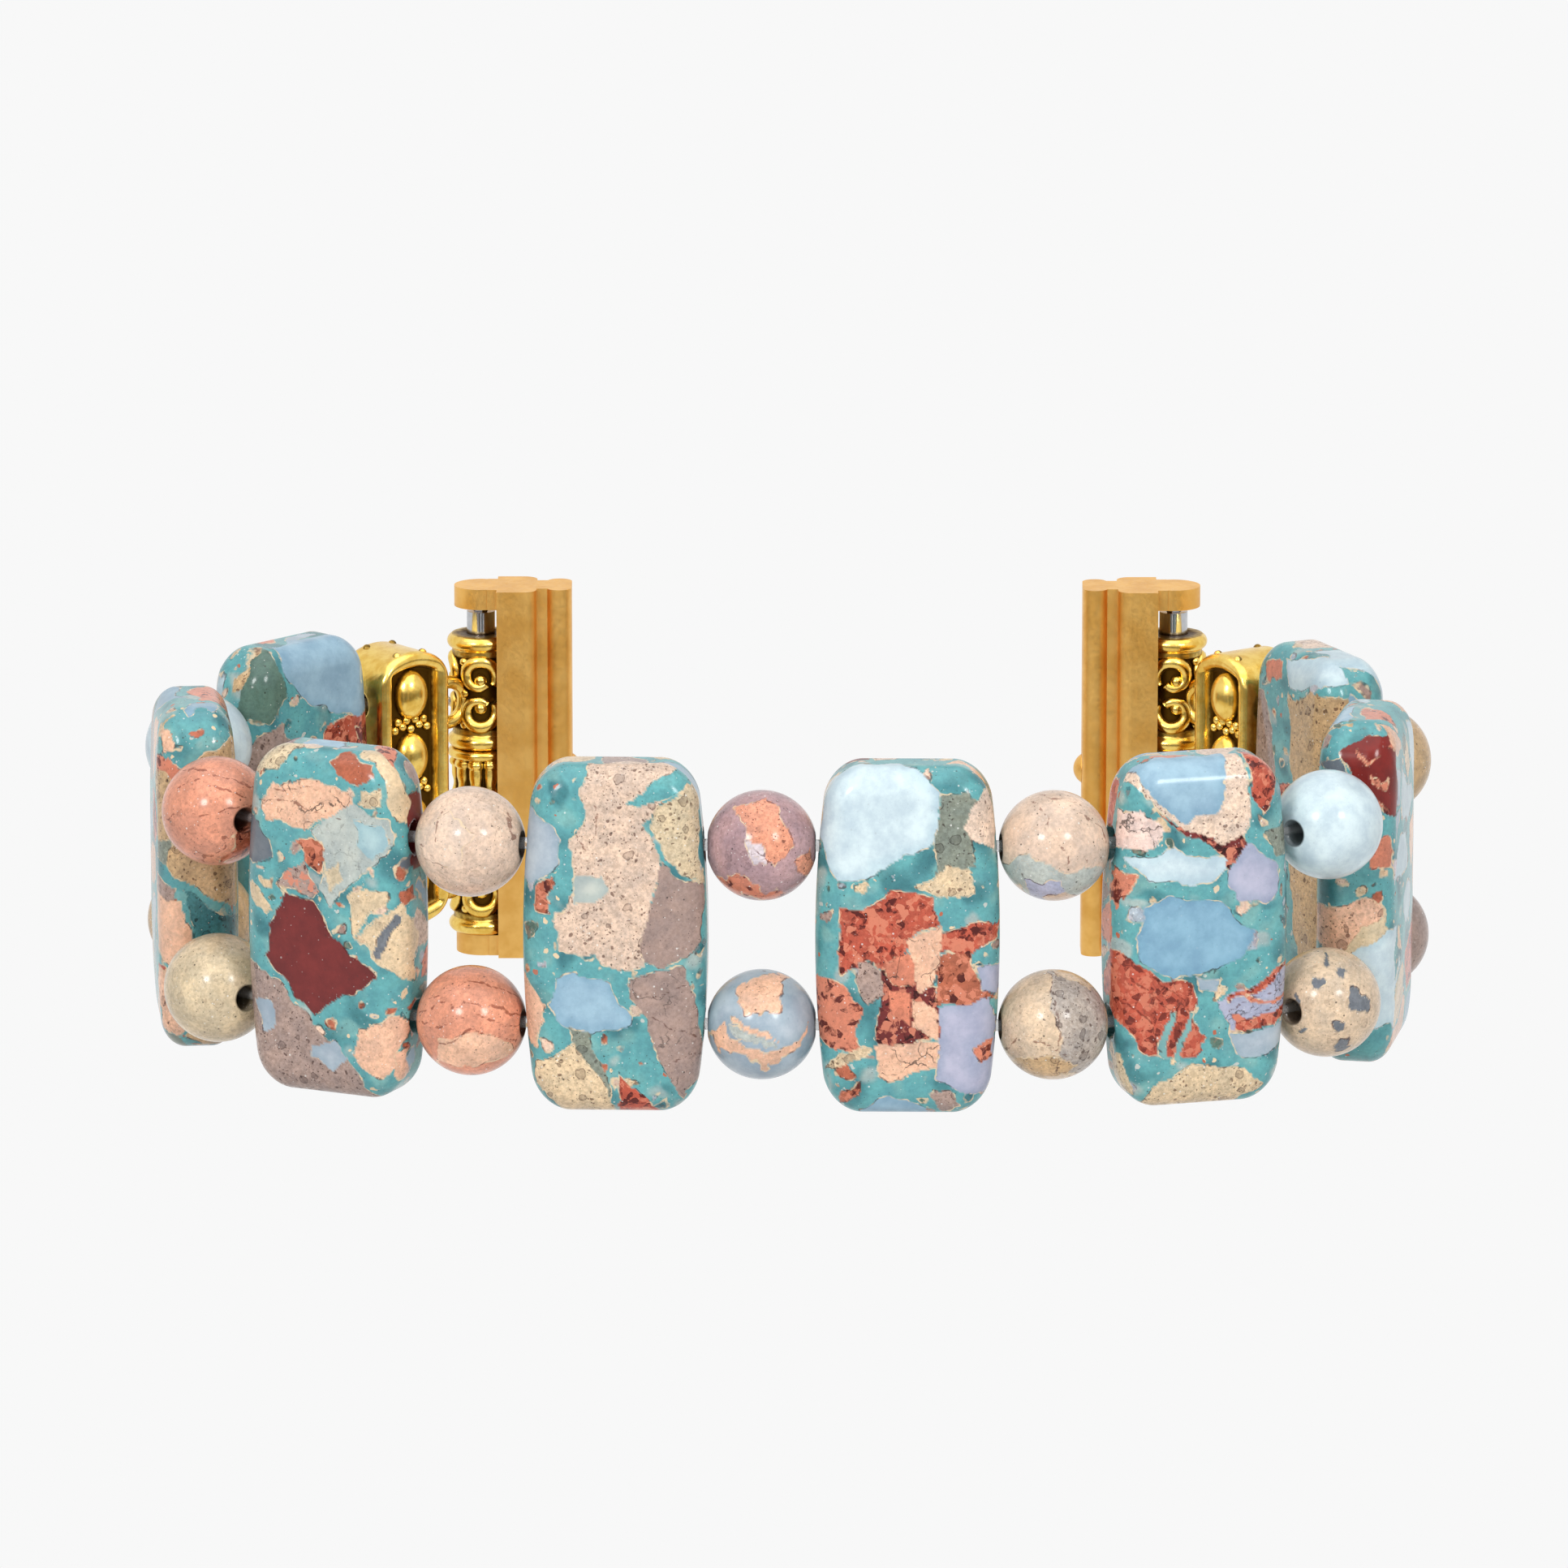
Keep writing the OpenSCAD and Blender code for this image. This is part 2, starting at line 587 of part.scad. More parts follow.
// Tube through a list of points, each ring set square to the route there
function unit(v) = v / norm(v);
function ring_along(path, k) = unit(path[min(k + 1, len(path) - 1)] - path[max(k - 1, 0)]);
module swept_tube(path, radii, sides) {
    rings = [for (k = [0 : len(path) - 1])
        let (t = ring_along(path, k), level_arm = unit(cross(t, abs(t[2]) > 0.9 ? [1, 0, 0] : [0, 0, 1])),
            upright = cross(level_arm, t))
        [for (s = [0 : sides - 1])
            path[k] + radii[k] * (cos(360 * s / sides) * level_arm + sin(360 * s / sides) * upright)]];
    points = [for (ring = rings, p = ring) p];
    last = (len(path) - 1) * sides;
    walls = [for (k = [0 : len(path) - 2], s = [0 : sides - 1], upper = [0, 1])
        let (a = k * sides + s, b = k * sides + (s + 1) % sides)
        upper == 0 ? [a, b, b + sides] : [a, b + sides, a + sides]];
    caps = [for (s = [1 : sides - 2], far = [0, 1]) far == 0 ? [0, s + 1, s] : [last, last + s, last + s + 1]];
    polyhedron(points, concat(walls, caps));
}

for (i = slabs) slab(i);
for (level = [0, 1], i = [1 : slab_count - 1])
    round_bead(level, i);
for (level = [0, 1])
    elastic_cord(level);
for (end = [0, 1]) {
    spacer_bar(end);
    for (level = [0, 1]) {
        bail(end, level);
        bar_tip(end, level);
    }
    middle_spool(end);
    lug_adapter(end);
    spring_bar_tube(end);
    spring_bar_spring(end);
    latch_button(end);
    latch_spring(end);
}
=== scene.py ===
import json
import math
import bpy
import numpy as np
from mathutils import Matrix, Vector


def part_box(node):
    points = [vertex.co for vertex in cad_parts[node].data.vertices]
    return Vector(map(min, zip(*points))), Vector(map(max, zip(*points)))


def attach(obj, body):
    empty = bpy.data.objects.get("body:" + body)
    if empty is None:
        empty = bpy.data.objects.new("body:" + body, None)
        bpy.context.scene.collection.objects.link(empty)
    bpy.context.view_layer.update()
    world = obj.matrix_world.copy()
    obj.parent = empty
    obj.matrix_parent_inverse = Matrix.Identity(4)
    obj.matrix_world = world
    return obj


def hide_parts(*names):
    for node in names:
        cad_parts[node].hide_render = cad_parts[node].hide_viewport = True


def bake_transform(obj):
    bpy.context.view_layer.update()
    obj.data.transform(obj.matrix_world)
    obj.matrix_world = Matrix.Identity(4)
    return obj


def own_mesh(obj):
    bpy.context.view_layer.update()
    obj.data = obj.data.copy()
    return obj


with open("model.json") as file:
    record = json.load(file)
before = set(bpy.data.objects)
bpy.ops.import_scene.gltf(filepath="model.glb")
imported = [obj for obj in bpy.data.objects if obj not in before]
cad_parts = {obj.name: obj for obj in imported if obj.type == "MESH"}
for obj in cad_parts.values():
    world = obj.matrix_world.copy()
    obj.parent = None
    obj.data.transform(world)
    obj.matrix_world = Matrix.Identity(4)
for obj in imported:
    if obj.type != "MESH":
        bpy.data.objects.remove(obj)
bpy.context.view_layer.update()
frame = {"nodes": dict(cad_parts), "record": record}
print("frame loaded:", len(frame["nodes"]), "nodes")

# The plan of the chain, as the part's source bends it: degrees at each pair of beads and at the two ends
bends = {"pairs": [49, 59, 23, 1, 16.5, 63, 36.5], "spacers": [8, 10.5], "bails": [-2, 8], "front": -2}
ends = ["left", "right"]
endTurn = [-1, 1]
levels = {"lower": -1, "upper": 1}
holeHeight = 5.25  # above and below the slab's middle, mm


def centreOf(node):
    # the middle of a CAD node's box, in millimetres
    low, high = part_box(node)
    return (np.array(low) + np.array(high)) * 500


# Headings of the slabs, walked out both ways from slab 4, and of the metal pieces at the two ends
headings = {4: bends["front"]}
for pair in (4, 5, 6, 7):
    headings[pair + 1] = headings[pair] + bends["pairs"][pair - 1]
for pair in (3, 2, 1):
    headings[pair] = headings[pair + 1] - bends["pairs"][pair - 1]
spacerHeadings = [headings[1] + 180 - bends["spacers"][0], headings[8] + bends["spacers"][1]]
bailHeadings = [spacerHeadings[k] + endTurn[k] * bends["bails"][k] for k in (0, 1)]

palette = {
    "teal": "#64a9ad", "tealDeep": "#437f86", "tealPale": "#88bab6", "bone": "#dfc5b0", "cream": "#e2caa6",
    "oliveCream": "#dac7a6", "taupe": "#a68f86", "greyBrown": "#ad968c", "oliveGrey": "#8a9285",
    "slate": "#71777f", "greyBlue": "#b0bdc8", "paleGrey": "#bcc3bd", "powderBlue": "#9abbcf",
    "paleBlue": "#cddfe6", "lavender": "#b3b5cb", "brick": "#bd5742", "rust": "#b5664b", "maroon": "#762c2b",
    "maroonBright": "#84231d", "salmon": "#d9866a", "apricot": "#e39b7e", "steelBlue": "#86b0c8",
    "ice": "#abc8cd", "stoneGrey": "#b8ada3", "peach": "#efc0a2", "blush": "#ead1bc", "rosePale": "#efd5ca",
    "rose": "#c49697", "roseGrey": "#d7cbd1", "mauve": "#b8979a", "tan": "#cfae83", "sand": "#dec6aa",
    "soot": "#332d2b", "moss": "#5d7a6e",
}


def linear(code):
    # sRGB hex to linear colour
    rgb = np.array([int(code[k:k + 2], 16) / 255 for k in (1, 3, 5)])
    return np.where(rgb <= 0.04045, rgb / 12.92, ((rgb + 0.055) / 1.055) ** 2.4)


ink = {name: linear(code) for name, code in palette.items()}


def smooth(low, high, value):
    # 0 at low, 1 at high, with an even start and stop between them
    t = np.clip((value - low) / (high - low), 0, 1)
    return t * t * (3 - 2 * t)


def waves(points, size, seed, count=20):
    # Soft noise from about -1 to 1: a sum of sine waves of about one length that run in random directions.
    rng = np.random.default_rng(seed)
    way = rng.normal(size=(count, points.shape[1]))
    way /= np.linalg.norm(way, axis=1)[:, None]
    pitch = rng.uniform(0.6, 1.6, count) * 2 * np.pi / size
    start = rng.uniform(0, 6.28, count)
    return np.sin(points @ (way * pitch[:, None]).T + start).sum(1) * 0.8 / math.sqrt(count)


def waved(points, size, seed):
    # three soft noises side by side, to push points about
    return np.stack([waves(points, size, seed + k) for k in range(3)], axis=1)


def hashed(number, salt):
    # whole numbers to even random values from 0 to 1
    x = (number * (2 * salt + 1) + salt * 0x9E3779B9) & 0xFFFFFFFF
    for _ in range(2):
        x = ((x ^ (x >> 16)) * 0x45D9F3B) & 0xFFFFFFFF
    return (x ^ (x >> 16)) / 2 ** 32


def brokenStone(points, pitch, seed):
    # Pieces round the jittered points of a cubic grid: distances to the nearest and second nearest point, and
    # a number for the nearest one's grid cell. The jitter is a whole-number hash of the cell.
    home = np.floor(points / pitch).astype(np.int64)
    best = np.full(len(points), 1e9)
    second = best.copy()
    code = np.zeros(len(points), dtype=np.int64)
    steps = np.stack(np.meshgrid([-1, 0, 1], [-1, 0, 1], [-1, 0, 1], indexing="ij"), axis=-1).reshape(-1, 3)
    for step in steps:
        cell = home + step
        number = (cell[:, 0] * 73856093) ^ (cell[:, 1] * 19349663) ^ (cell[:, 2] * 83492791)
        number = number ^ (seed * 2654435761)
        jitter = np.stack([hashed(number, k) for k in (1, 2, 3)], axis=1)
        d = np.linalg.norm(points - (cell + jitter) * pitch, axis=1) * (0.75 + 0.5 * hashed(number, 4))
        nearer = d < best
        second = np.where(nearer, best, np.minimum(second, d))
        code = np.where(nearer, number, code)
        best = np.where(nearer, d, best)
    return best, second, code


def placed(points, centre, turn):
    # local millimetres, turned about +Z and moved, to metres in the part's frame
    c, s = math.cos(math.radians(turn)), math.sin(math.radians(turn))
    out = np.empty_like(points)
    out[:, 0] = points[:, 0] * c - points[:, 1] * s + centre[0]
    out[:, 1] = points[:, 0] * s + points[:, 1] * c + centre[1]
    out[:, 2] = points[:, 2] + centre[2]
    return out / 1000


def addPiece(name, points, faces, material, body, replaced, colours=None, values=None):
    # Puts points, faces and per-point attributes into a mesh, all from whole arrays.
    mesh = bpy.data.meshes.new(name)
    mesh.vertices.add(len(points))
    mesh.vertices.foreach_set("co", np.ascontiguousarray(points, dtype=np.float32).ravel())
    faces = np.ascontiguousarray(faces, dtype=np.int32)
    mesh.loops.add(faces.size)
    mesh.loops.foreach_set("vertex_index", faces.ravel())
    mesh.polygons.add(len(faces))
    mesh.polygons.foreach_set("loop_start", np.arange(len(faces), dtype=np.int32) * faces.shape[1])
    mesh.polygons.foreach_set("use_smooth", np.ones(len(faces), dtype=bool))
    mesh.update(calc_edges=True)
    mesh.validate()
    for label, data in (colours or {}).items():
        layer = mesh.attributes.new(label, "FLOAT_COLOR", "POINT")
        rgba = np.ones((len(points), 4), dtype=np.float32)
        rgba[:, :data.shape[1]] = data
        layer.data.foreach_set("color", rgba.ravel())
    for label, data in (values or {}).items():
        mesh.attributes.new(label, "FLOAT", "POINT").data.foreach_set("value", data.astype(np.float32))
    mesh.materials.append(material)
    piece = bpy.data.objects.new(name, mesh)
    bpy.context.scene.collection.objects.link(piece)
    if body:
        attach(piece, body)
    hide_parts(replaced)
    return piece


def blockLattice(half, cell):
    # The six sides of a block as even quads of about one cell that share their edge points. Coordinates run
    # from -1 to 1.
    counts = [int(round(2 * h / cell)) for h in half]
    quads = []
    for axis in range(3):
        a, b = (axis + 1) % 3, (axis + 2) % 3
        ia, ib = np.meshgrid(np.arange(counts[a]), np.arange(counts[b]), indexing="ij")
        for side in (0, counts[axis]):
            corner = np.zeros(ia.shape + (4, 3), dtype=np.int64)
            corner[..., axis] = side
            steps = [(0, 0), (1, 0), (1, 1), (0, 1)]
            for k, (da, db) in enumerate(steps if side else steps[::-1]):
                corner[..., k, a] = ia + da
                corner[..., k, b] = ib + db
            quads.append(corner.reshape(-1, 4, 3))
    quads = np.concatenate(quads)
    key = (quads[..., 0] * (counts[1] + 1) + quads[..., 1]) * (counts[2] + 1) + quads[..., 2]
    unique, index = np.unique(key.ravel(), return_inverse=True)
    k = unique % (counts[2] + 1)
    j = unique // (counts[2] + 1) % (counts[1] + 1)
    i = unique // ((counts[2] + 1) * (counts[1] + 1))
    return np.stack([i, j, k], axis=1) / np.array(counts) * 2 - 1, index.reshape(-1, 4)


def wrapGrid(rows, columns, closeRows=False):
    # Quads over a grid of rows by columns whose columns close on themselves.
    r = np.arange(rows if closeRows else rows - 1)[:, None]
    c = np.arange(columns)[None]
    up, on = (r + 1) % rows, (c + 1) % columns
    quads = [r * columns + c, r * columns + on, up * columns + on, up * columns + c]
    return np.stack(quads, axis=-1).reshape(-1, 4)


def allTriangles(points, faces, caps=None):
    # quads and caps as triangles only, without those that have shrunk to a line
    tris = np.vstack([faces[:, [0, 1, 2]], faces[:, [0, 2, 3]]])
    if caps is not None:
        tris = np.vstack([tris, caps])
    tris = tris[(tris[:, 0] != tris[:, 1]) & (tris[:, 1] != tris[:, 2]) & (tris[:, 0] != tris[:, 2])]
    return points, tris


def fan(middle, ring):
    # triangles from a middle point to a ring that closes on itself
    return np.stack([np.full(len(ring), middle), ring, np.roll(ring, -1)], axis=1)


def tubeSurface(path, radius, sides=12, closed=False, up=(0, 0, 1)):
    # A circle carried along a path: each ring is square to the route, with one arm square to up, which the
    # route never follows.
    path = np.asarray(path, dtype=float)
    if closed:
        ahead = np.roll(path, -1, axis=0) - np.roll(path, 1, axis=0)
    else:
        ahead = np.gradient(path, axis=0)
    ahead /= np.linalg.norm(ahead, axis=1)[:, None]
    arm = np.cross(ahead, np.asarray(up, dtype=float))
    arm /= np.linalg.norm(arm, axis=1)[:, None]
    other = np.cross(arm, ahead)
    turn = np.linspace(0, 2 * np.pi, sides, endpoint=False)
    radius = np.broadcast_to(np.asarray(radius, dtype=float), (len(path),))
    ring = np.cos(turn)[None, :, None] * arm[:, None] + np.sin(turn)[None, :, None] * other[:, None]
    points = (path[:, None] + ring * radius[:, None, None]).reshape(-1, 3)
    faces = wrapGrid(len(path), sides, closed)[:, ::-1]
    if closed:
        return allTriangles(points, faces)
    # the open ends close on the path's two end points
    ringA, ringB = np.arange(sides), (len(path) - 1) * sides + np.arange(sides)
    caps = np.vstack([fan(len(points), ringA)[:, ::-1], fan(len(points) + 1, ringB)])
    return allTriangles(np.vstack([points, path[:1], path[-1:]]), faces, caps)


def joined(parts):
    # several (points, faces, values) as one
    points, faces, values, start = [], [], [], 0
    for p, f, v in parts:
        points.append(p)
        faces.append(f + start)
        values.append(v)
        start += len(p)
    return np.vstack(points), np.vstack(faces), np.concatenate(values)


def curveThrough(knots, count):
    # Catmull-Rom curve through the knots, with count points
    k = np.asarray(knots, dtype=float)
    k = np.vstack([2 * k[0] - k[1], k, 2 * k[-1] - k[-2]])
    spans = len(k) - 3
    t = np.linspace(0, spans, count)
    i = np.minimum(t.astype(int), spans - 1)
    f = (t - i)[:, None]
    a, b, c, d = k[i], k[i + 1], k[i + 2], k[i + 3]
    return 0.5 * (2 * b + (c - a) * f + (2 * a - 5 * b + 4 * c - d) * f ** 2
                  + (3 * b - a - 3 * c + d) * f ** 3)


def edgeDistance(points, start, end):
    # distance in a plane from each point to the nearest of several straight edges
    edge = end - start
    away = points[:, None] - start[None]
    t = np.clip((away * edge).sum(-1) / (edge ** 2).sum(-1), 0, 1)
    return np.sqrt(((away - t[..., None] * edge) ** 2).sum(-1)).min(1)


def outlineDistance(points, outline):
    # Signed distance in a plane to a closed outline: to the nearest edge, positive where a ray meets an odd
    # count of edges.
    start = np.asarray(outline, dtype=float)
    end = np.roll(start, -1, axis=0)
    reach = edgeDistance(points, start, end)
    px, py = points[:, :1], points[:, 1:]
    rise = np.where(end[:, 1] == start[:, 1], 1e-9, end[:, 1] - start[:, 1])
    across = (end[:, 0] - start[:, 0]) * (py - start[:, 1]) / rise + start[:, 0]
    crossed = ((start[:, 1] > py) != (end[:, 1] > py)) & (px < across)
    return np.where(crossed.sum(1) % 2 == 1, reach, -reach)


def pathDistance(points, paths):
    # distance in a plane to the nearest of several open lines
    nearest = np.full(len(points), 9.0)
    for path in paths:
        knots = np.array(path, dtype=float)
        nearest = np.minimum(nearest, edgeDistance(points, knots[:-1], knots[1:]))
    return nearest


# Materials
class Wires:
    # Short calls for the nodes of a material or of the world; mm is the place on the object in millimetres.
    def __init__(self, tree):
        self.tree = tree
        self.mm = None

    def node(self, kind, inputs, **settings):
        # a new node, with its settings and its inputs: fixed values or other nodes' outputs
        made = self.tree.nodes.new("ShaderNode" + kind)
        for label, value in settings.items():
            setattr(made, label, value)
        self.feed(made, inputs)
        return made

    def feed(self, made, inputs):
        for label, value in inputs.items():
            if isinstance(value, bpy.types.NodeSocket):
                self.tree.links.new(value, made.inputs[label])
            else:
                made.inputs[label].default_value = value

    def math(self, kind, a, b=0.0):
        return self.node("Math", {0: a, 1: b}, operation=kind).outputs[0]

    def times(self, *factors):
        out = factors[0]
        for factor in factors[1:]:
            out = self.math("MULTIPLY", out, factor)
        return out

    def ramp(self, value, low, high, a=0.0, b=1.0):
        inputs = {"Value": value, "From Min": low, "From Max": high, "To Min": a, "To Max": b}
        return self.node("MapRange", inputs, interpolation_type="SMOOTHSTEP").outputs["Result"]

    def noise(self, scale, detail=3.0, rough=0.6, warp=0.0):
        inputs = {"Vector": self.mm, "Scale": scale, "Detail": detail, "Roughness": rough, "Distortion": warp}
        return self.node("TexNoise", inputs).outputs["Fac"]

    def ragged(self, value, scale, detail, amount):
        # a value pushed up and down by noise
        push = self.math("SUBTRACT", self.noise(scale, detail), 0.5)
        return self.math("ADD", value, self.times(push, amount))

    def cells(self, scale, vector=None, output="Distance", feature="F1"):
        inputs = {"Vector": vector or self.mm, "Scale": scale}
        return self.node("TexVoronoi", inputs, feature=feature).outputs[output]

    def cellNumbers(self, scale, vector=None):
        # three random numbers for each cell
        return self.parts(self.cells(scale, vector, "Color"))

    def mix(self, factor, a, b, kind="MIX"):
        return self.node("Mix", {0: factor, 6: a, 7: b}, data_type="RGBA", blend_type=kind).outputs[2]

    def tinted(self, factor, colour, tint):
        # the colour, multiplied by the tint as far as the factor goes
        return self.mix(factor, colour, self.mix(1.0, colour, tint, "MULTIPLY"))

    def attribute(self, name, output="Fac"):
        return self.node("Attribute", {}, attribute_name=name).outputs[output]

    def parts(self, colour):
        return self.node("SeparateColor", {0: colour}).outputs

    def shifted(self, amount, scale, detail=2.0):
        # the millimetre coordinates pushed about by coloured noise
        push = self.node("TexNoise", {"Vector": self.mm, "Scale": scale, "Detail": detail}).outputs["Color"]
        inputs = {0: push, 1: (amount, amount, amount), 2: self.mm}
        return self.node("VectorMath", inputs, operation="MULTIPLY_ADD").outputs[0]

    def bump(self, height, distance, strength):
        inputs = {"Strength": strength, "Distance": distance, "Height": height}
        return self.node("Bump", inputs).outputs["Normal"]


def surface(name):
    # a new material with only its shader, the calls for its nodes, and the shader itself
    made = bpy.data.materials.new(name)
    made.use_nodes = True
    made.node_tree.nodes.clear()
    w = Wires(made.node_tree)
    place = w.node("TexCoord", {}).outputs["Object"]
    w.mm = w.node("VectorMath", {0: place, "Scale": 1000}, operation="SCALE").outputs[0]
    shader = w.node("BsdfPrincipled", {})
    w.node("OutputMaterial", {0: shader.outputs[0]})
    return made, w, shader


def rgba(colour):
    return (*[float(v) for v in colour], 1.0)


stoneLook = {
    "toneDark": (0.8, 0.82, 0.85, 1), "toneLight": (1.13, 1.1, 1.06, 1), "toneScale": 0.7,
    "grainDark": (0.72, 0.7, 0.69, 1), "grainLight": (1.14, 1.14, 1.15, 1), "grainScale": 4.0,
    "glassDeep": (0.62, 0.74, 0.8, 1), "facetDark": (0.2, 0.1, 0.12, 1), "facetScale": 2.6,
    "poreFill": (0.62, 0.6, 0.6, 1), "poreRing": (0.35, 0.3, 0.3, 1), "poreScale": 0.85,
    "pit": (0.26, 0.2, 0.19, 1), "pitScale": 2.0, "smallPitScale": 4.4, "crackScale": 0.5, "crumbScale": 1.6,
    "vein": (0.28, 0.14, 0.12, 1), "rimDark": (0.28, 0.2, 0.2, 1), "speckLight": (0.85, 0.85, 0.82, 1),
    # where a mark ends and where it is full, in shares of a cell or in millimetres
    "poreSize": (0.27, 0.25), "ringSize": (0.19, 0.25), "pitSize": (0.25, 0.17), "smallPitSize": (0.26, 0.17),
    "crumbSize": (0.25, 0.2), "crackWidth": (0.022, 0.006), "veinWidth": (0.07, 0.02),
    "rimWidth": (0.055, 0.015), "glassReach": 0.8,
    # how strongly each mark shows, and how deep the pits are in metres
    "glassShade": 0.5, "poreShade": 0.75, "ringShade": 0.6, "pitShade": 0.85, "crackShade": 0.8,
    "veinShade": 0.7, "rimShade": (0.1, 0.85), "pitDepth": 0.00005, "pitRelief": 0.5,
    "specks": ((2.2, 0.16, 0.2), (5.0, 0.2, 0.16)),  # cells per millimetre, size and share of white ones
    "rough": (0.22, 0.45), "specular": 0.22, "coat": 0.18, "coatRough": 0.1,
}


def stoneMaterial(name, withCrumbs):
    # Polished stone: the mesh gives the chips' colours, and noise draws pores, mottling, cracks and specks.
    made, w, shader = surface(name)
    look = stoneLook
    chip = w.attribute("chipColour", "Color")
    pores, mottle, cracks = w.parts(w.attribute("chipKind", "Color"))[:3]
    glass = w.attribute("chipKind", "Alpha")
    edge = w.attribute("chipEdge")
    shifted = w.shifted(0.5, 1.6)
    # slow changes of tone within each chip, and a fine grain on all but the glassy ones
    tone = w.ramp(w.noise(look["toneScale"], 6.0, 0.65), 0.3, 0.7)
    chip = w.mix(1.0, chip, w.mix(tone, look["toneDark"], look["toneLight"]), "MULTIPLY")
    grain = w.ramp(w.noise(look["grainScale"], 4.0, 0.7), 0.36, 0.64)
    grainy = w.times(w.math("SUBTRACT", 1.0, glass), w.math("ADD", 0.4, w.times(pores, 0.4)))
    chip = w.tinted(grainy, chip, w.mix(grain, look["grainDark"], look["grainLight"]))
    # glassy chips are milky in the middle and deeper towards their edge
    deeper = w.ramp(w.math("ABSOLUTE", edge), look["glassReach"], 0.0, 0.0, look["glassShade"])
    chip = w.tinted(w.times(glass, deeper), chip, look["glassDeep"])
    # rough chips are broken into facets that run from a dark to an orange shade
    facet = w.cellNumbers(look["facetScale"], w.shifted(0.35, 2.4, 4.0))[0]
    rough = w.math("ADD", w.times(facet, 0.4), w.noise(1.0, 6.0, 0.7, 0.6))
    light = w.mix(0.8, chip, rgba(ink["salmon"]))
    dark = w.mix(1.0, chip, look["facetDark"], "MULTIPLY")
    chip = w.mix(w.times(mottle, w.ramp(rough, 0.74, 0.84)), chip, light)
    chip = w.mix(w.times(mottle, w.ramp(rough, 0.62, 0.5)), chip, dark)
    # pores: large ones are filled with grey and have a dark edge, the smaller ones are plain dark hollows
    large = w.cells(look["poreScale"], shifted)
    chosen = w.ramp(w.cellNumbers(look["poreScale"], shifted)[0], 0.42, 0.44)
    filled = w.times(pores, chosen, w.ramp(large, *look["poreSize"]))
    ring = w.times(filled, w.ramp(large, *look["ringSize"]))
    chip = w.tinted(w.times(filled, look["poreShade"]), chip, look["poreFill"])
    chip = w.tinted(w.times(ring, look["ringShade"]), chip, look["poreRing"])
    pits = w.ramp(w.cells(look["pitScale"], shifted), *look["pitSize"])
    pits = w.times(pits, w.ramp(w.noise(0.8, 2.0), 0.44, 0.52))
    small = w.ramp(w.cells(look["smallPitScale"], shifted), *look["smallPitSize"])
    small = w.times(small, w.ramp(w.noise(1.1, 2.0), 0.42, 0.54))
    pits = w.times(pores, w.math("MAXIMUM", pits, small))
    chip = w.tinted(w.times(pits, look["pitShade"]), chip, look["pit"])
    # cracks and bands: thin dark lines along the borders of stretched cells
    border = w.cells(look["crackScale"], w.shifted(1.6, 0.9, 5.0), feature="DISTANCE_TO_EDGE")
    line = w.times(w.ramp(border, *look["crackWidth"]), w.ramp(w.noise(0.8, 2.0), 0.42, 0.56))
    chip = w.mix(w.times(cracks, line, look["crackShade"]), chip, rgba(ink["soot"]))
    # veins that the mesh places
    thin = w.math("ABSOLUTE", w.ragged(w.attribute("vein"), 2.6, 4.0, 0.3))
    chip = w.tinted(w.times(w.ramp(thin, *look["veinWidth"]), look["veinShade"]), chip, look["vein"])
    if withCrumbs:
        # crumbs in the ground between the chips
        place = w.shifted(0.4, 2.2)
        crumbs = w.ramp(w.cells(look["crumbScale"], place), *look["crumbSize"])
        crumbs = w.times(crumbs, w.ramp(edge, -0.04, -0.1))
        pick = w.cellNumbers(look["crumbScale"], place)
        crumb = w.mix(w.ramp(pick[1], 0.4, 0.42), rgba(ink["cream"]), rgba(ink["paleGrey"]))
        crumb = w.mix(w.ramp(pick[1], 0.72, 0.74), crumb, rgba(ink["rust"]))
        chip = w.mix(w.times(crumbs, w.ramp(pick[0], 0.76, 0.78)), chip, crumb)
    # thin rims where a chip meets its neighbour: pale in some places, dark in others
    rim = w.ramp(w.math("ABSOLUTE", w.ragged(edge, 3.0, 3.0, 0.16)), *look["rimWidth"])
    dark = w.mix(1.0, chip, look["rimDark"], "MULTIPLY")
    rimColour = w.mix(w.ramp(w.noise(0.7, 2.0), 0.48, 0.56), rgba(ink["cream"]), dark)
    chip = w.mix(w.times(rim, w.ramp(w.noise(1.1, 2.0), 0.4, 0.6, *look["rimShade"])), chip, rimColour)
    # dark and white specks over everything but the glassy chips
    plain = w.math("SUBTRACT", 1.0, w.times(glass, 0.85))
    for scale, size, white in look["specks"]:
        dots = w.ramp(w.cells(scale), size, size * 0.6)
        pick = w.cellNumbers(scale)[0]
        dark = w.mix(0.75, chip, rgba(ink["soot"]))
        chip = w.mix(w.times(dots, w.ramp(pick, 0.76, 0.78), plain), chip, dark)
        pale = w.mix(0.6, chip, look["speckLight"])
        chip = w.mix(w.times(dots, w.ramp(pick, white, white - 0.02), plain), chip, pale)
    w.feed(shader, {
        "Base Color": chip, "Roughness": w.ramp(pits, 0.0, 1.0, *look["rough"]),
        "Specular IOR Level": look["specular"], "Coat Weight": look["coat"],
        "Coat Roughness": look["coatRough"],
        "Normal": w.bump(w.math("SUBTRACT", 0.0, pits), look["pitDepth"], look["pitRelief"]),
    })
    return made


# the gold's tones: bright, worn, and deep for the patina and painted shade in hollows; then roughness and
# grain
goldLook = {
    "bright": "#f6d474", "worn": "#e3b650", "deep": "#54390f", "rough": (0.24, 0.5), "grainScale": 5.0,
}
metals = {
    # two tones, roughness and grain
    "satinGold": ("#efbd6a", "#e2ac58", 0.42, 0.3),
    "brightSteel": ("#c9cacc", "#b4b5b8", 0.16, 0.1),
    "springSteel": ("#a9abae", "#8f9195", 0.3, 0.2),
}
elasticLook = {"clear": (0.96, 0.96, 0.95, 1), "dull": (0.86, 0.87, 0.88, 1), "passes": 0.75, "bends": 1.45}


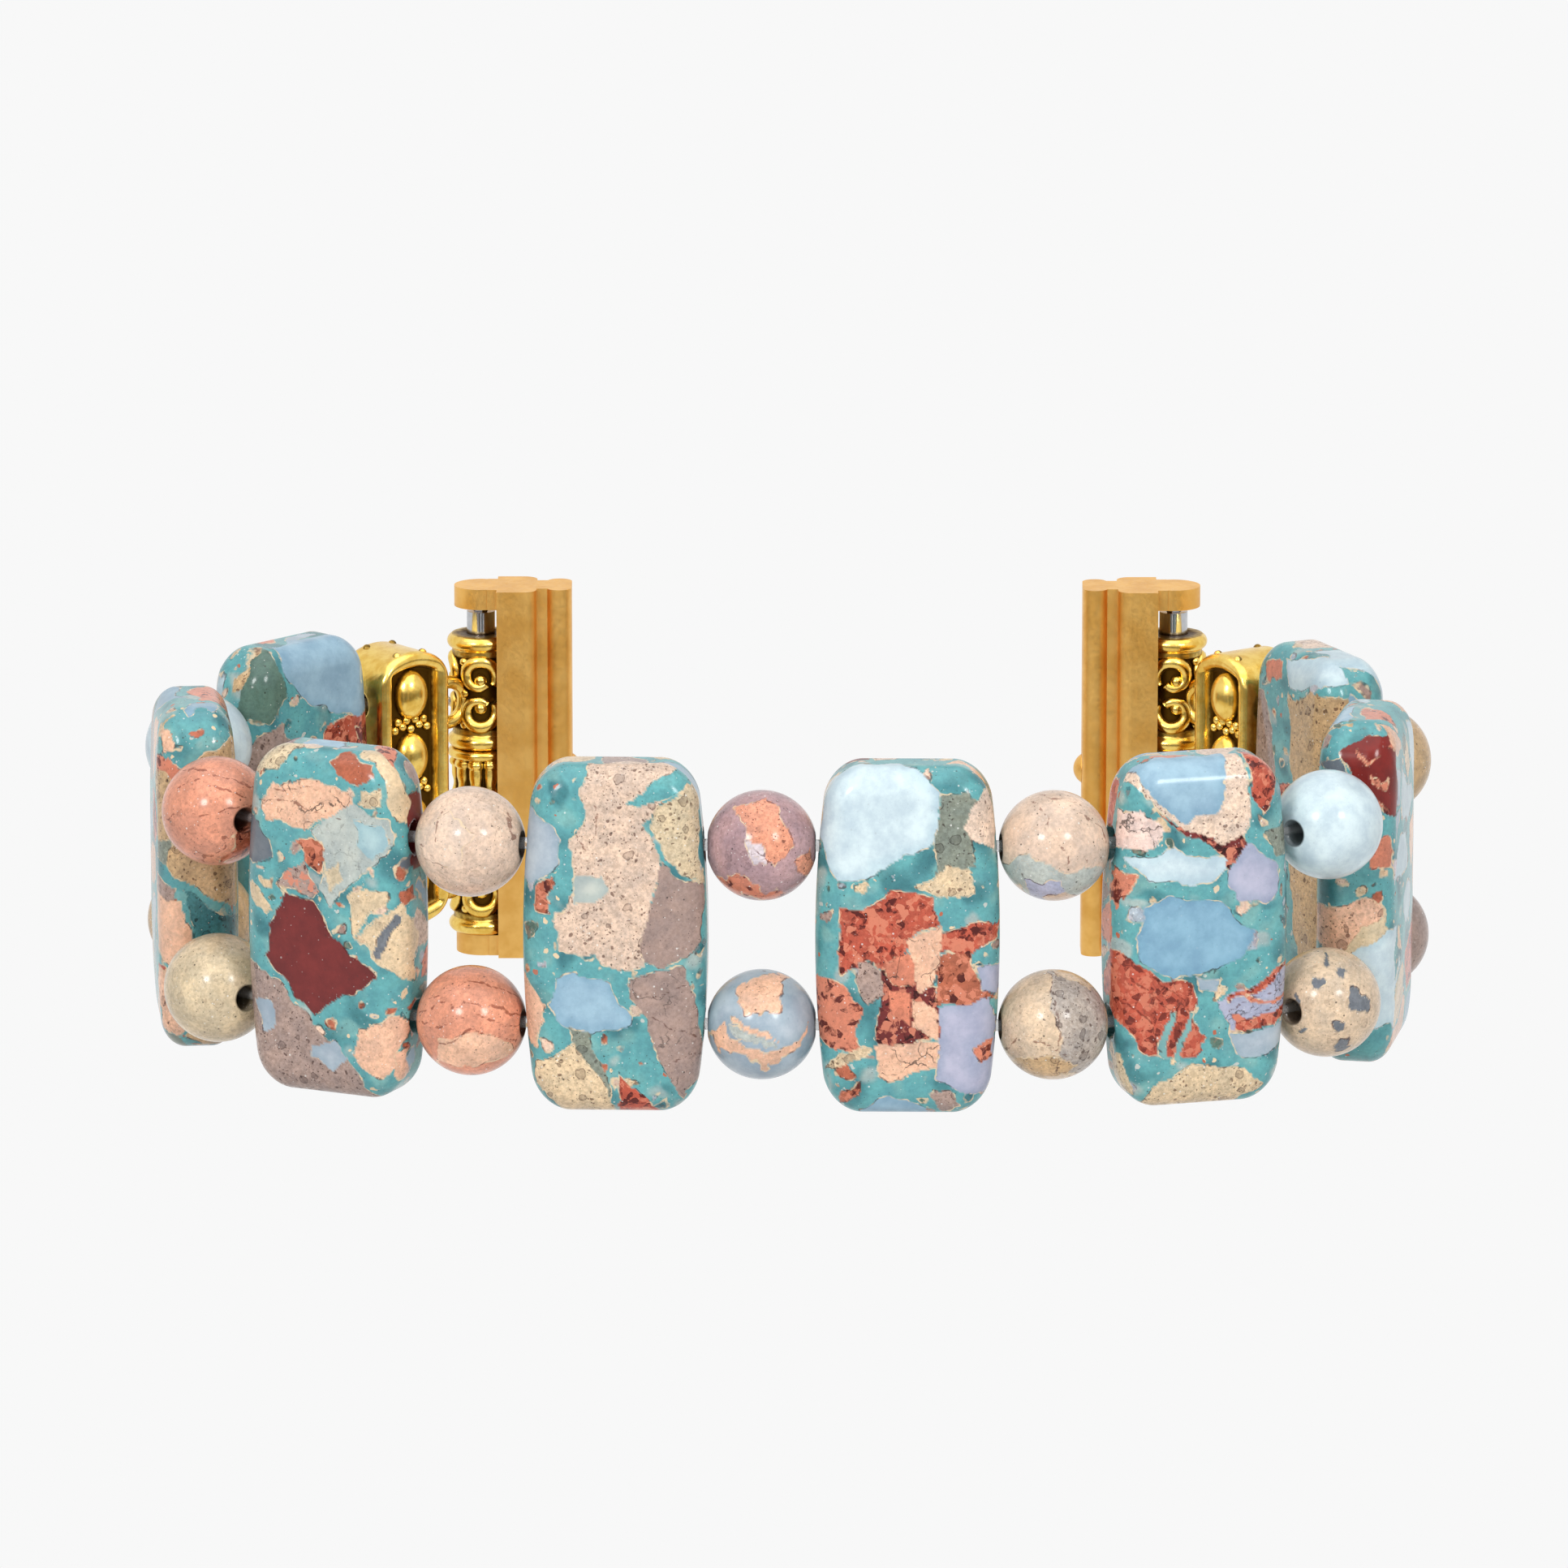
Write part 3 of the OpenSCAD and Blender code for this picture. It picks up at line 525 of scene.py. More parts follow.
def goldMaterial(name):
    # Cast gold: bright on what stands proud, dark with patina and painted shade where the mesh marks hollows,
    # with a fine grain.
    made, w, shader = surface(name)
    bright, worn, deep = [rgba(linear(goldLook[key])) for key in ("bright", "worn", "deep")]
    hollow = w.ragged(w.attribute("hollow"), 3.0, 4.0, 0.5)
    colour = w.mix(w.ramp(w.noise(1.4, 5.0), 0.35, 0.7), bright, worn)
    w.feed(shader, {
        "Base Color": w.mix(w.ramp(hollow, 0.35, 0.85), colour, deep), "Metallic": 1.0,
        "Roughness": w.ramp(hollow, 0.3, 0.9, *goldLook["rough"]),
        "Normal": w.bump(w.noise(goldLook["grainScale"], 4.0), 0.00003, 0.35),
    })
    return made


def metalMaterial(name):
    # plain metal with fine grain and a slow change of tone
    made, w, shader = surface(name)
    tone, otherTone, rough, grain = metals[name]
    w.feed(shader, {
        "Base Color": w.mix(w.ramp(w.noise(0.5), 0.35, 0.65), rgba(linear(tone)), rgba(linear(otherTone))),
        "Metallic": 1.0, "Roughness": w.ramp(w.noise(4.0, 4.0), 0.3, 0.7, rough - 0.05, rough + 0.05),
        "Normal": w.bump(w.noise(14.0), 0.00001, grain),
    })
    return made


def elasticMaterial(name):
    # clear elastic: glassy, slightly milky, with fine length-wise unevenness
    made, w, shader = surface(name)
    w.feed(shader, {
        "Base Color": w.mix(w.noise(2.0), elasticLook["dull"], elasticLook["clear"]),
        "Transmission Weight": elasticLook["passes"], "IOR": elasticLook["bends"],
        "Roughness": w.ramp(w.noise(3.0), 0.3, 0.7, 0.1, 0.2),
    })
    return made


slabStone = stoneMaterial("slabStone", True)
beadStone = stoneMaterial("beadStone", False)
antiqueGold = goldMaterial("antiqueGold")
satinGold, brightSteel, springSteel = [metalMaterial(name) for name in metals]
clearElastic = elasticMaterial("clearElastic")
print("materials made")


slabs = {
    "width": 10.5, "thick": 5.0, "height": 20.3, "endWidth": 9.0, "crown": 0.45, "edge": 1.6, "corner": 2.3,
    "cell": 0.12, "holeRadius": 0.7, "holeFlare": 0.28, "holeDepth": 1.6, "chipDepth": 1.9,
    "sideShare": 0.4,  # points further out than this share of the width belong to the narrow sides
    # how unevenly deep the chips go, and the soft noise that bends them (size and amount)
    "depthPush": 0.35, "wobble": [(2.6, 0.2), (0.7, 0.06)],
    # the ground: its colour and the soft shades in it (colour, size, where it starts and is full, share)
    "ground": "teal",
    "shades": [("tealDeep", 3.2, 0.1, 1.1, 1), ("tealPale", 2.2, 0.2, 1.2, 0.6),
               ("paleGrey", 2.8, 0.8, 1.4, 0.7)],
    # small bits in the ground, and the chips that no outline places: size, gap between them and colours
    "bitPitch": 1.0, "bitGap": (0.13, 0.42), "loosePitch": 3.3, "looseGap": (0.05, 0.45),
    "tint": (0.88, 1.12),  # the darkest and lightest bit of one colour
    "bits": ["cream", "moss", "tealDeep", "taupe", "greyBlue", "rust", "bone"],
    "loose": ["bone", "paleBlue", "brick", "oliveGrey", "cream", "greyBlue", "salmon", "maroon", "tan",
              "powderBlue", "taupe", "peach"],
    "looseKinds": ["porous", "glassy", "rough", "porous", "cracked", "glassy", "rough", "smooth", "porous",
                   "glassy", "banded", "speckled"],
}
# Each kind of stone: how porous, how mottled, how cracked and how glassy it is
kinds = {
    "porous": (1, 0, 0.1, 0), "plain": (0.15, 0, 0, 0), "rimmed": (0.2, 0, 0.1, 0), "glassy": (0, 0, 0, 1),
    "rough": (0.1, 1, 0.2, 0), "smooth": (0, 0, 0, 0.6), "cracked": (0.3, 0.1, 1, 0),
    "banded": (0.3, 0, 0.7, 0), "fan": (0, 0.8, 0.4, 0), "speckled": (0.35, 0, 0, 0),
    "milky": (0.3, 0, 0.3, 0.5), "striped": (0, 0, 0.9, 0.5), "ground": (0, 0, 0, 0.2),
    "bit": (0.5, 0.2, 0, 0),
}
# What each chip looks like: colour, kind, outline in millimetres from the slab's middle. Faces: front is the
# outward broad face, low and high are the narrow ends of the slab towards the left and right of the chain.
slabs["chips"] = {
    "slab_4 front": [
        ("bone", "porous", [(-0.9, 11.1), (1.5, 11.0), (4.1, 10.3), (4.7, 9.5), (3.0, 8.5), (1.7, 6.8),
            (2.4, 5.2), (2.5, 4.0), (1.9, 1.4), (1.7, -1.4), (-0.2, -1.4), (-0.9, -1.1), (-1.0, -0.4),
            (-2.0, -0.7), (-3.3, -0.6), (-3.2, 1.1), (-2.3, 3.0), (-2.5, 5.8), (-1.5, 7.4), (-1.8, 8.9)]),
        ("oliveCream", "porous", [(2.4, 7.9), (4.1, 8.7), (4.8, 9.1), (5.0, 5.0), (4.9, 3.2), (3.7, 4.2),
            (2.8, 5.0), (2.1, 6.6)]),
        ("teal", "plain", [(0.7, 8.2), (2.0, 9.3), (4.1, 10.1), (4.8, 9.7), (4.1, 8.8), (2.4, 8.2),
            (1.1, 7.8)]),
        ("taupe", "rimmed", [(2.5, 4.8), (3.7, 3.8), (4.9, 3.2), (5.0, 0.1), (4.3, -0.7), (2.6, -1.4),
            (1.7, -1.1), (1.9, 1.4), (2.4, 3.2)]),
        ("greyBlue", "glassy", [(-5.4, 8.0), (-3.2, 6.8), (-2.9, 6.0), (-3.3, 4.6), (-4.1, 3.6),
            (-5.5, 3.4)]),
        ("rust", "rough", [(-4.6, 3.2), (-3.5, 3.7), (-3.2, 1.4), (-4.5, 1.8)]),
        ("paleGrey", "glassy", [(-2.3, 3.8), (-1.5, 4.0), (-0.7, 4.0), (-0.4, 3.0), (-1.1, 2.4),
            (-2.2, 2.6)]),
        ("powderBlue", "glassy", [(-3.8, -3.5), (-3.3, -2.2), (-1.9, -1.7), (-0.4, -2.2), (0.9, -4.1),
            (0.8, -4.7), (-1.2, -5.4), (-3.0, -4.8)]),
        ("oliveGrey", "porous", [(-2.6, -4.8), (-1.3, -5.4), (-0.7, -7.2), (-0.2, -9.0), (-0.9, -9.0),
            (-2.0, -6.8)]),
        ("taupe", "banded", [(0.9, -2.0), (3.8, -1.2), (4.5, -3.1), (5.0, -5.2), (4.7, -8.2), (3.9, -9.5),
            (3.3, -8.6), (2.5, -7.0), (1.9, -4.5), (1.1, -3.1)]),
        ("cream", "porous", [(-3.5, -6.6), (-2.2, -5.7), (-1.3, -7.4), (-0.1, -9.4), (0.1, -10.4),
            (-2.6, -10.5), (-4.6, -8.4), (-4.8, -7.0)]),
        ("brick", "rough", [(0.4, -7.8), (1.9, -9.3), (3.3, -10.2), (0.1, -10.5)]),
        ("peach", "speckled", [(-5.6, -1.3), (-3.9, -3.7), (-3.8, -4.7), (-4.6, -6.2), (-5.5, -5.4)]),
    ],
    "slab_5 front": [
        ("rose", "banded", [(-3.5, 11.3), (-0.5, 11.4), (1.5, 11.1), (0.8, 10.3), (-0.7, 10.5),
            (-2.6, 10.7)]),
        ("paleBlue", "glassy", [(-4.6, 9.7), (-3.1, 10.7), (-0.7, 10.5), (0.8, 9.7), (1.9, 8.7), (1.5, 6.6),
            (1.3, 6.0), (-1.1, 4.7), (-2.6, 4.0), (-4.0, 3.7), (-5.1, 6.0), (-5.1, 8.3)]),
        ("oliveGrey", "porous", [(2.0, 8.7), (3.4, 9.1), (4.1, 8.1), (3.7, 6.0), (3.9, 4.6), (1.5, 4.2),
            (1.3, 5.9)]),
        ("blush", "porous", [(4.1, 8.5), (4.9, 9.3), (5.2, 7.0), (5.0, 5.3), (3.7, 6.0), (3.4, 6.8)]),
        ("cream", "porous", [(0.6, 3.4), (2.1, 4.6), (3.7, 4.4), (3.7, 3.0), (2.3, 2.8)]),
        ("cream", "porous", [(-3.2, 3.5), (-2.4, 4.0), (-2.5, 3.2), (-2.9, 3.0)]),
        ("brick", "rough", [(-3.8, 2.2), (-2.4, 2.0), (-0.7, 3.4), (1.7, 2.8), (1.9, 1.4), (0.2, 0.7),
            (-0.3, -0.3), (-1.3, -1.1), (-2.2, -0.9), (-2.9, -1.3), (-3.9, -1.9)]),
        ("maroon", "rough", [(-1.3, -1.1), (0.0, -1.1), (1.7, -2.5), (1.7, -5.4), (-1.8, -6.0),
            (-1.6, -4.5)]),
        ("greyBrown", "porous", [(-2.7, -0.9), (-1.4, -1.1), (-1.3, -2.9), (-2.4, -3.5), (-2.9, -2.1)]),
        ("brick", "rough", [(2.0, 0.8), (5.2, 1.4), (5.2, 0.3), (3.4, -0.5), (2.0, -0.3)]),
        ("rust", "rough", [(1.8, -0.6), (3.4, -0.3), (4.1, -2.5), (5.2, -3.3), (1.7, -3.5)]),
        ("lavender", "glassy", [(1.7, -3.6), (4.7, -3.3), (5.2, -5.8), (4.6, -8.6), (2.8, -8.5),
            (1.7, -8.0)]),
        ("lavender", "glassy", [(3.9, -1.3), (5.2, -1.1), (5.2, -3.1), (4.1, -2.7)]),
        ("salmon", "rough", [(3.6, -5.8), (5.0, -5.5), (4.8, -6.6), (3.9, -7.0)]),
        ("peach", "cracked", [(-0.1, 0.5), (2.0, 1.3), (2.1, -1.3), (0.8, -2.9), (0.0, -1.3)]),
        ("salmon", "cracked", [(-1.3, -0.9), (-0.1, -0.3), (0.2, -2.1), (-0.7, -2.1)]),
        ("peach", "cracked", [(0.4, -3.3), (1.6, -3.7), (1.6, -5.6), (0.4, -4.8)]),
        ("salmon", "cracked", [(-1.1, -2.5), (0.3, -2.7), (0.3, -4.7), (-0.7, -3.9)]),
        ("peach", "cracked", [(-2.0, -6.0), (-0.3, -5.6), (1.7, -5.7), (1.7, -7.2), (0.0, -7.6),
            (-1.1, -8.3), (-1.8, -7.4)]),
        ("salmon", "rough", [(-5.3, -1.8), (-4.0, -2.3), (-2.6, -3.7), (-2.9, -5.2), (-2.4, -6.2),
            (-4.0, -6.4), (-5.3, -5.2)]),
        ("cream", "porous", [(-4.7, -7.4), (-2.4, -5.8), (-2.0, -6.2), (-3.9, -7.4)]),
        ("powderBlue", "glassy", [(-2.5, -9.8), (-1.4, -9.1), (0.2, -9.1), (1.7, -10.2), (-2.2, -10.4)]),
        ("greyBrown", "porous", [(1.2, -8.8), (2.4, -8.6), (3.2, -9.4), (2.1, -10.2)]),
        ("rust", "rough", [(-4.0, -8.8), (-2.7, -7.9), (-2.9, -8.6), (-3.9, -9.6)]),
    ],
    "slab_6 front": [
        ("blush", "porous", [(-5.1, 10.6), (2.2, 10.9), (2.5, 7.6), (2.2, 6.0), (1.3, 4.5), (0.3, 5.0),
            (-0.9, 6.3), (-2.9, 7.5), (-4.5, 9.2)]),
        ("powderBlue", "glassy", [(-3.9, 10.9), (1.4, 10.8), (1.3, 8.9), (0.7, 6.9), (-0.9, 6.8),
            (-2.9, 7.8), (-3.9, 9.2)]),
        ("maroon", "rough", [(-3.1, 7.5), (-0.9, 6.3), (0.7, 5.0), (1.9, 5.7), (2.2, 5.1), (1.4, 3.7),
            (-0.5, 5.6), (-2.5, 7.0)]),
        ("brick", "rough", [(2.5, 10.8), (4.1, 10.0), (4.2, 8.7), (3.8, 7.5), (3.2, 7.0), (2.7, 8.0)]),
        ("rosePale", "cracked", [(-5.4, 7.3), (-3.9, 7.4), (-2.5, 6.4), (-2.9, 5.6), (-4.5, 5.3),
            (-5.5, 5.4)]),
        ("paleBlue", "glassy", [(-4.8, 4.8), (-2.1, 5.2), (1.2, 4.3), (1.2, 3.7), (-0.9, 3.1),
            (-3.7, 3.5)]),
        ("lavender", "glassy", [(2.2, 5.2), (4.2, 3.9), (4.4, 2.8), (3.4, 1.7), (1.8, 2.0), (1.1, 3.0),
            (1.6, 4.0)]),
        ("steelBlue", "glassy", [(-3.9, 1.7), (-2.1, 2.5), (0.7, 2.0), (3.0, 0.1), (2.2, -1.2),
            (-0.1, -2.0), (-1.9, -2.5), (-3.7, -1.4), (-4.1, 0.2)]),
        ("salmon", "rough", [(-5.2, 4.0), (-4.2, 3.7), (-4.4, 2.8), (-5.0, 1.7), (-5.4, 2.8)]),
        ("brick", "fan", [(-6.2, -0.1), (-4.3, -1.2), (-2.5, -2.5), (-0.7, -2.6), (-0.5, -3.8),
            (-0.9, -4.7), (0.1, -6.0), (-0.5, -7.2), (-2.3, -6.6), (-3.5, -6.7), (-4.7, -5.3), (-5.4, -4.0),
            (-6.0, -2.0)]),
        ("lavender", "striped", [(0.8, -3.9), (5.5, -1.9), (5.4, -5.1), (1.4, -5.7)]),
        ("brick", "rough", [(1.3, -3.8), (3.4, -2.8), (5.5, -1.8), (5.5, -2.1), (3.4, -3.2), (1.4, -4.1)]),
        ("salmon", "plain", [(2.5, -3.5), (3.6, -3.9), (5.5, -4.1), (5.5, -4.4), (3.8, -4.2), (2.4, -3.8)]),
        ("brick", "rough", [(1.4, -4.6), (2.6, -4.9), (5.5, -4.7), (5.5, -5.2), (1.8, -5.7)]),
        ("tealPale", "glassy", [(-2.1, -4.2), (-1.8, -4.2), (-2.3, -6.9), (-2.8, -6.7)]),
        ("tealPale", "glassy", [(-1.1, -4.4), (-0.8, -4.5), (-1.3, -7.3), (-1.8, -7.2)]),
        ("greyBlue", "glassy", [(1.4, -5.9), (5.3, -5.4), (5.2, -6.9), (2.2, -7.3)]),
        ("cream", "porous", [(-2.9, -8.5), (-0.9, -7.7), (2.2, -7.9), (3.4, -9.1), (1.8, -10.4),
            (-2.1, -10.5), (-3.7, -9.8)]),
        ("oliveGrey", "porous", [(3.4, 6.0), (5.4, 6.3), (5.4, 4.7), (4.2, 4.3)]),
        ("greyBlue", "glassy", [(-0.5, -2.2), (0.9, -2.3), (0.7, -3.1), (-0.3, -3.0)]),
        ("oliveCream", "porous", [(-6.0, -6.2), (-4.7, -7.0), (-4.1, -9.2), (-4.9, -9.2), (-5.8, -8.3)]),
    ],
    "slab_3 front": [
        ("oliveCream", "porous", [(-5.3, 9.0), (-2.6, 10.3), (-1.3, 10.5), (-2.8, 8.8), (-4.1, 8.6)]),
        ("blush", "speckled", [(-2.4, 10.8), (1.3, 11.2), (0.4, 10.7), (-1.7, 10.2)]),
        ("peach", "cracked", [(-3.9, 6.7), (-3.0, 8.1), (-0.4, 8.5), (1.9, 8.0), (2.2, 7.2), (1.5, 6.4),
            (0.0, 6.1), (-0.8, 5.6), (-2.4, 5.9), (-3.4, 6.0)]),
        ("rust", "speckled", [(0.6, 9.7), (1.5, 10.0), (3.0, 9.6), (3.4, 9.0), (2.6, 8.5), (1.3, 8.9)]),
        ("cream", "plain", [(1.5, 11.0), (3.9, 11.3), (5.6, 10.1), (5.8, 8.1), (5.5, 6.5), (4.7, 6.4),
            (4.1, 8.0), (3.9, 8.9), (3.0, 9.8), (1.7, 10.2)]),
        ("cream", "porous", [(2.6, 8.2), (3.7, 8.5), (3.9, 7.5), (2.6, 7.4)]),
        ("brick", "plain", [(5.2, 11.3), (6.9, 10.2), (6.9, 8.7), (5.7, 8.7), (5.4, 10.3)]),
        ("paleGrey", "milky", [(-0.4, 5.5), (2.2, 7.4), (4.3, 6.6), (4.7, 4.9), (3.4, 3.9), (1.5, 2.3),
            (0.9, 1.3), (0.2, 2.2), (0.4, 4.0)]),
        ("ice", "glassy", [(2.2, 6.3), (3.9, 6.3), (4.5, 5.0), (3.4, 4.3), (2.3, 4.9)]),
        ("oliveCream", "plain", [(0.3, 3.5), (1.3, 3.9), (1.6, 3.0), (0.9, 2.2)]),
        ("slate", "glassy", [(-5.4, 6.2), (-3.9, 5.9), (-3.0, 4.8), (-3.2, 3.6), (-4.5, 3.1), (-5.4, 3.6)]),
        ("cream", "plain", [(-4.9, 2.0), (-3.9, 1.9), (-3.2, 0.6), (-3.7, 0.4), (-4.7, 1.2)]),
        ("greyBrown", "rough", [(-2.8, 2.3), (-0.9, 3.9), (0.2, 2.0), (-0.2, 1.5), (-1.9, 2.0)]),
        ("rust", "rough", [(-1.3, 5.0), (0.2, 5.0), (0.2, 3.4), (-0.9, 3.9)]),
        ("maroon", "smooth", [(-2.2, 1.8), (-0.2, 1.3), (1.0, -0.5), (2.6, -1.7), (3.8, -2.7), (2.6, -3.6),
            (1.5, -4.0), (-0.4, -5.3), (-1.5, -4.3), (-2.4, -3.2), (-3.5, -2.2), (-3.2, 0.0), (-2.5, 1.1)]),
        ("cream", "speckled", [(1.9, 2.2), (4.5, 2.6), (4.1, 1.8), (3.2, 0.7), (2.2, -0.4), (1.8, 0.6)]),
        ("cream", "speckled", [(2.6, -0.3), (4.8, 1.7), (6.0, -0.6), (7.5, -2.8), (6.5, -4.2), (4.7, -2.7),
            (3.4, -1.6)]),
        ("slate", "plain", [(4.5, 1.1), (5.0, 0.9), (3.9, -1.7), (3.4, -1.3)]),
        ("rust", "porous", [(4.7, 2.5), (5.8, 3.0), (5.6, 1.6), (4.9, 1.5)]),
        ("slate", "glassy", [(4.7, 4.1), (5.8, 4.8), (6.1, 3.8), (5.4, 3.3)]),
        ("greyBrown", "porous", [(-5.2, -2.7), (-3.0, -3.3), (-0.4, -5.8), (1.3, -7.4), (2.6, -8.7),
            (3.4, -10.5), (0.4, -11.1), (-3.9, -10.7), (-4.7, -8.2), (-5.2, -5.1)]),
        ("greyBlue", "glassy", [(-0.4, -7.2), (0.9, -6.7), (1.6, -7.6), (0.6, -8.5), (-0.4, -8.0)]),
        ("greyBlue", "glassy", [(-4.3, -4.8), (-3.2, -4.7), (-3.0, -6.1), (-3.9, -6.6)]),
        ("peach", "speckled", [(2.2, -6.1), (4.5, -4.9), (5.2, -5.2), (4.7, -6.6), (4.5, -8.1), (3.7, -8.7),
            (2.6, -8.1), (1.9, -7.3)]),
        ("peach", "speckled", [(4.5, -7.5), (5.4, -6.5), (6.1, -7.1), (5.8, -8.3), (4.5, -9.3),
            (4.3, -8.5)]),
    ],
    "slab_7 low": [
        ("maroonBright", "glassy", [(-1.0, 8.6), (0.4, 9.5), (2.4, 9.8), (2.8, 8.3), (2.4, 4.8), (1.7, 5.0),
            (0.4, 6.7), (-0.4, 7.9)]),
        ("salmon", "rough", [(0.1, 9.0), (0.9, 8.3), (1.5, 8.6), (0.9, 8.0), (0.3, 8.5)]),
        ("salmon", "rough", [(1.0, 7.4), (1.5, 6.8), (2.0, 7.1), (1.6, 6.5), (1.1, 6.9)]),
        ("salmon", "rough", [(1.6, 9.0), (2.3, 9.3), (2.1, 8.5)]),
        ("salmon", "rough", [(0.9, 6.6), (1.5, 5.7), (1.9, 5.1), (1.4, 5.4)]),
        ("slate", "glassy", [(-2.2, 7.9), (-0.8, 8.3), (-0.2, 7.1), (-1.5, 7.0)]),
        ("cream", "porous", [(-0.1, 6.4), (0.8, 6.0), (1.5, 4.8), (0.4, 4.8)]),
        ("salmon", "plain", [(0.8, 4.0), (2.1, 3.8), (2.2, 2.0), (1.1, 2.2)]),
        ("peach", "porous", [(-2.5, -0.9), (-0.8, -0.1), (1.7, 0.1), (1.9, -0.7), (0.8, -2.1), (-0.8, -3.0),
            (-2.1, -2.6)]),
        ("oliveCream", "plain", [(-0.8, -3.0), (1.9, -0.8), (2.1, -1.7), (-0.4, -3.4)]),
        ("paleBlue", "glassy", [(-0.6, -3.4), (2.1, -1.7), (3.6, -3.0), (3.4, -7.7), (0.9, -7.5),
            (0.0, -5.0)]),
        ("brick", "rough", [(-2.5, -9.1), (-0.9, -8.3), (-0.6, -8.9), (-1.9, -9.8)]),
        ("roseGrey", "plain", [(2.5, 10.6), (3.6, 10.6), (3.6, 0.3), (2.4, 0.5), (2.3, 2.0), (2.7, 4.8)]),
    ],
    "slab_2 high": [
        ("peach", "speckled", [(-2.2, 9.0), (-1.5, 9.2), (-1.3, 8.0), (-2.0, 7.6)]),
        ("rust", "rough", [(-2.0, 10.2), (-1.1, 10.2), (-1.1, 10.0), (-1.9, 10.0)]),
        ("tan", "porous", [(-2.8, 7.0), (-0.7, 7.2), (1.2, 8.2), (2.9, 8.5), (2.9, 3.2), (2.9, -1.7),
            (0.6, -0.8), (-0.9, 0.4), (-2.0, 1.2), (-2.8, 2.0)]),
        ("salmon", "rough", [(-2.4, 7.6), (-0.3, 7.0), (0.6, 7.3), (-1.1, 6.2), (-2.3, 6.7)]),
        ("oliveGrey", "porous", [(-2.6, 2.4), (-1.5, 2.4), (-2.0, 1.2), (-2.6, 1.4)]),
        ("peach", "plain", [(-2.8, 0.1), (-1.1, -1.3), (-0.4, -3.2), (-0.7, -5.0), (-2.0, -4.6),
            (-2.8, -3.2)]),
        ("greyBrown", "porous", [(-2.6, 0.5), (-1.3, -0.1), (-1.4, -1.1), (-2.4, -0.7)]),
        ("tealDeep", "porous", [(-1.1, -0.2), (1.4, -1.7), (2.9, -2.3), (2.7, -3.3), (-0.3, -4.0),
            (-0.4, -2.3)]),
        ("peach", "porous", [(-2.8, -4.8), (-0.7, -5.2), (-0.5, -7.5), (-1.1, -9.0), (-2.6, -8.8)]),
        ("tan", "porous", [(-0.5, -3.8), (2.9, -3.5), (2.9, -10.2), (0.6, -10.2), (-0.9, -9.0),
            (-0.3, -7.5)]),
        ("oliveGrey", "glassy", [(-2.6, -9.2), (-1.1, -9.0), (-0.7, -10.2), (-2.0, -10.6)]),
        ("brick", "plain", [(-2.3, -4.8), (-1.8, -4.9), (-1.9, -5.4)]),
    ],
    "slab_1 back": [
        ("powderBlue", "glassy", [(-2.2, 10.6), (5.4, 10.6), (5.4, 6.0), (3.4, 5.4), (1.0, 5.8),
            (-0.8, 7.0), (-2.4, 8.6)]),
        ("brick", "rough", [(0.6, 5.2), (3.0, 5.4), (5.4, 5.6), (5.4, 1.4), (3.6, 0.6), (1.6, 1.4),
            (0.2, 3.0)]),
        ("maroon", "rough", [(3.2, 4.8), (5.4, 4.6), (5.4, 2.4), (3.6, 2.6)]),
        ("greyBrown", "porous", [(-5.2, 5.0), (-2.8, 6.0), (-1.4, 3.4), (-2.6, 0.6), (-5.2, 1.0)]),
        ("moss", "plain", [(-5.4, 9.8), (-2.8, 10.4), (-2.4, 7.4), (-4.0, 6.0), (-5.4, 6.4)]),
    ],
    "slab_8 back": [
        ("greyBrown", "porous", [(-5.4, 7.6), (-3.0, 7.4), (-1.6, 5.0), (-0.6, 0.4), (-1.4, -6.0),
            (-5.4, -9.0)]),
        ("salmon", "plain", [(-3.0, 9.2), (-1.2, 9.4), (-0.8, 8.3), (-2.4, 7.9)]),
        ("tan", "porous", [(0.4, 7.4), (3.0, 8.4), (5.4, 8.0), (5.4, -8.0), (2.0, -9.4), (0.8, -2.0),
            (1.2, 3.0)]),
        ("brick", "rough", [(-0.6, 1.8), (0.8, 2.4), (1.0, -0.8), (-0.2, -1.4)]),
        ("paleBlue", "glassy", [(-1.0, 9.6), (4.6, 10.4), (5.4, 9.0), (2.8, 8.7), (0.4, 8.1)]),
    ],
}
# thin dark lines on the same faces
slabs["veins"] = {
    "slab_3 front": [
        [(-4.0, 7.0), (-2.3, 7.2), (-0.6, 6.9), (0.8, 6.4), (1.6, 6.3)],
        [(-2.9, 7.8), (-1.6, 7.9), (-0.6, 8.2)],
    ],
    "slab_4 front": [
        [(2.0, -3.1), (3.2, -2.8), (4.1, -2.4)],
        [(1.5, -4.0), (2.6, -4.4), (3.5, -5.0), (4.7, -5.6)],
        [(2.6, -7.4), (3.4, -7.0), (4.7, -6.5)],
        [(-2.2, 6.2), (-1.8, 5.4), (-1.0, 6.4), (-0.9, 7.8)],
    ],
    "slab_6 front": [
        [(1.2, -4.6), (3.2, -3.6), (5.4, -3.2)],
        [(1.6, -5.2), (3.6, -4.6), (5.4, -4.3)],
        [(-4.4, -2.2), (-2.2, -4.0), (-1.0, -6.4)],
        [(-5.2, -3.4), (-3.4, -4.6), (-2.6, -6.4)],
        [(-3.2, -2.2), (-1.4, -3.6), (-0.6, -5.4)],
    ],
}


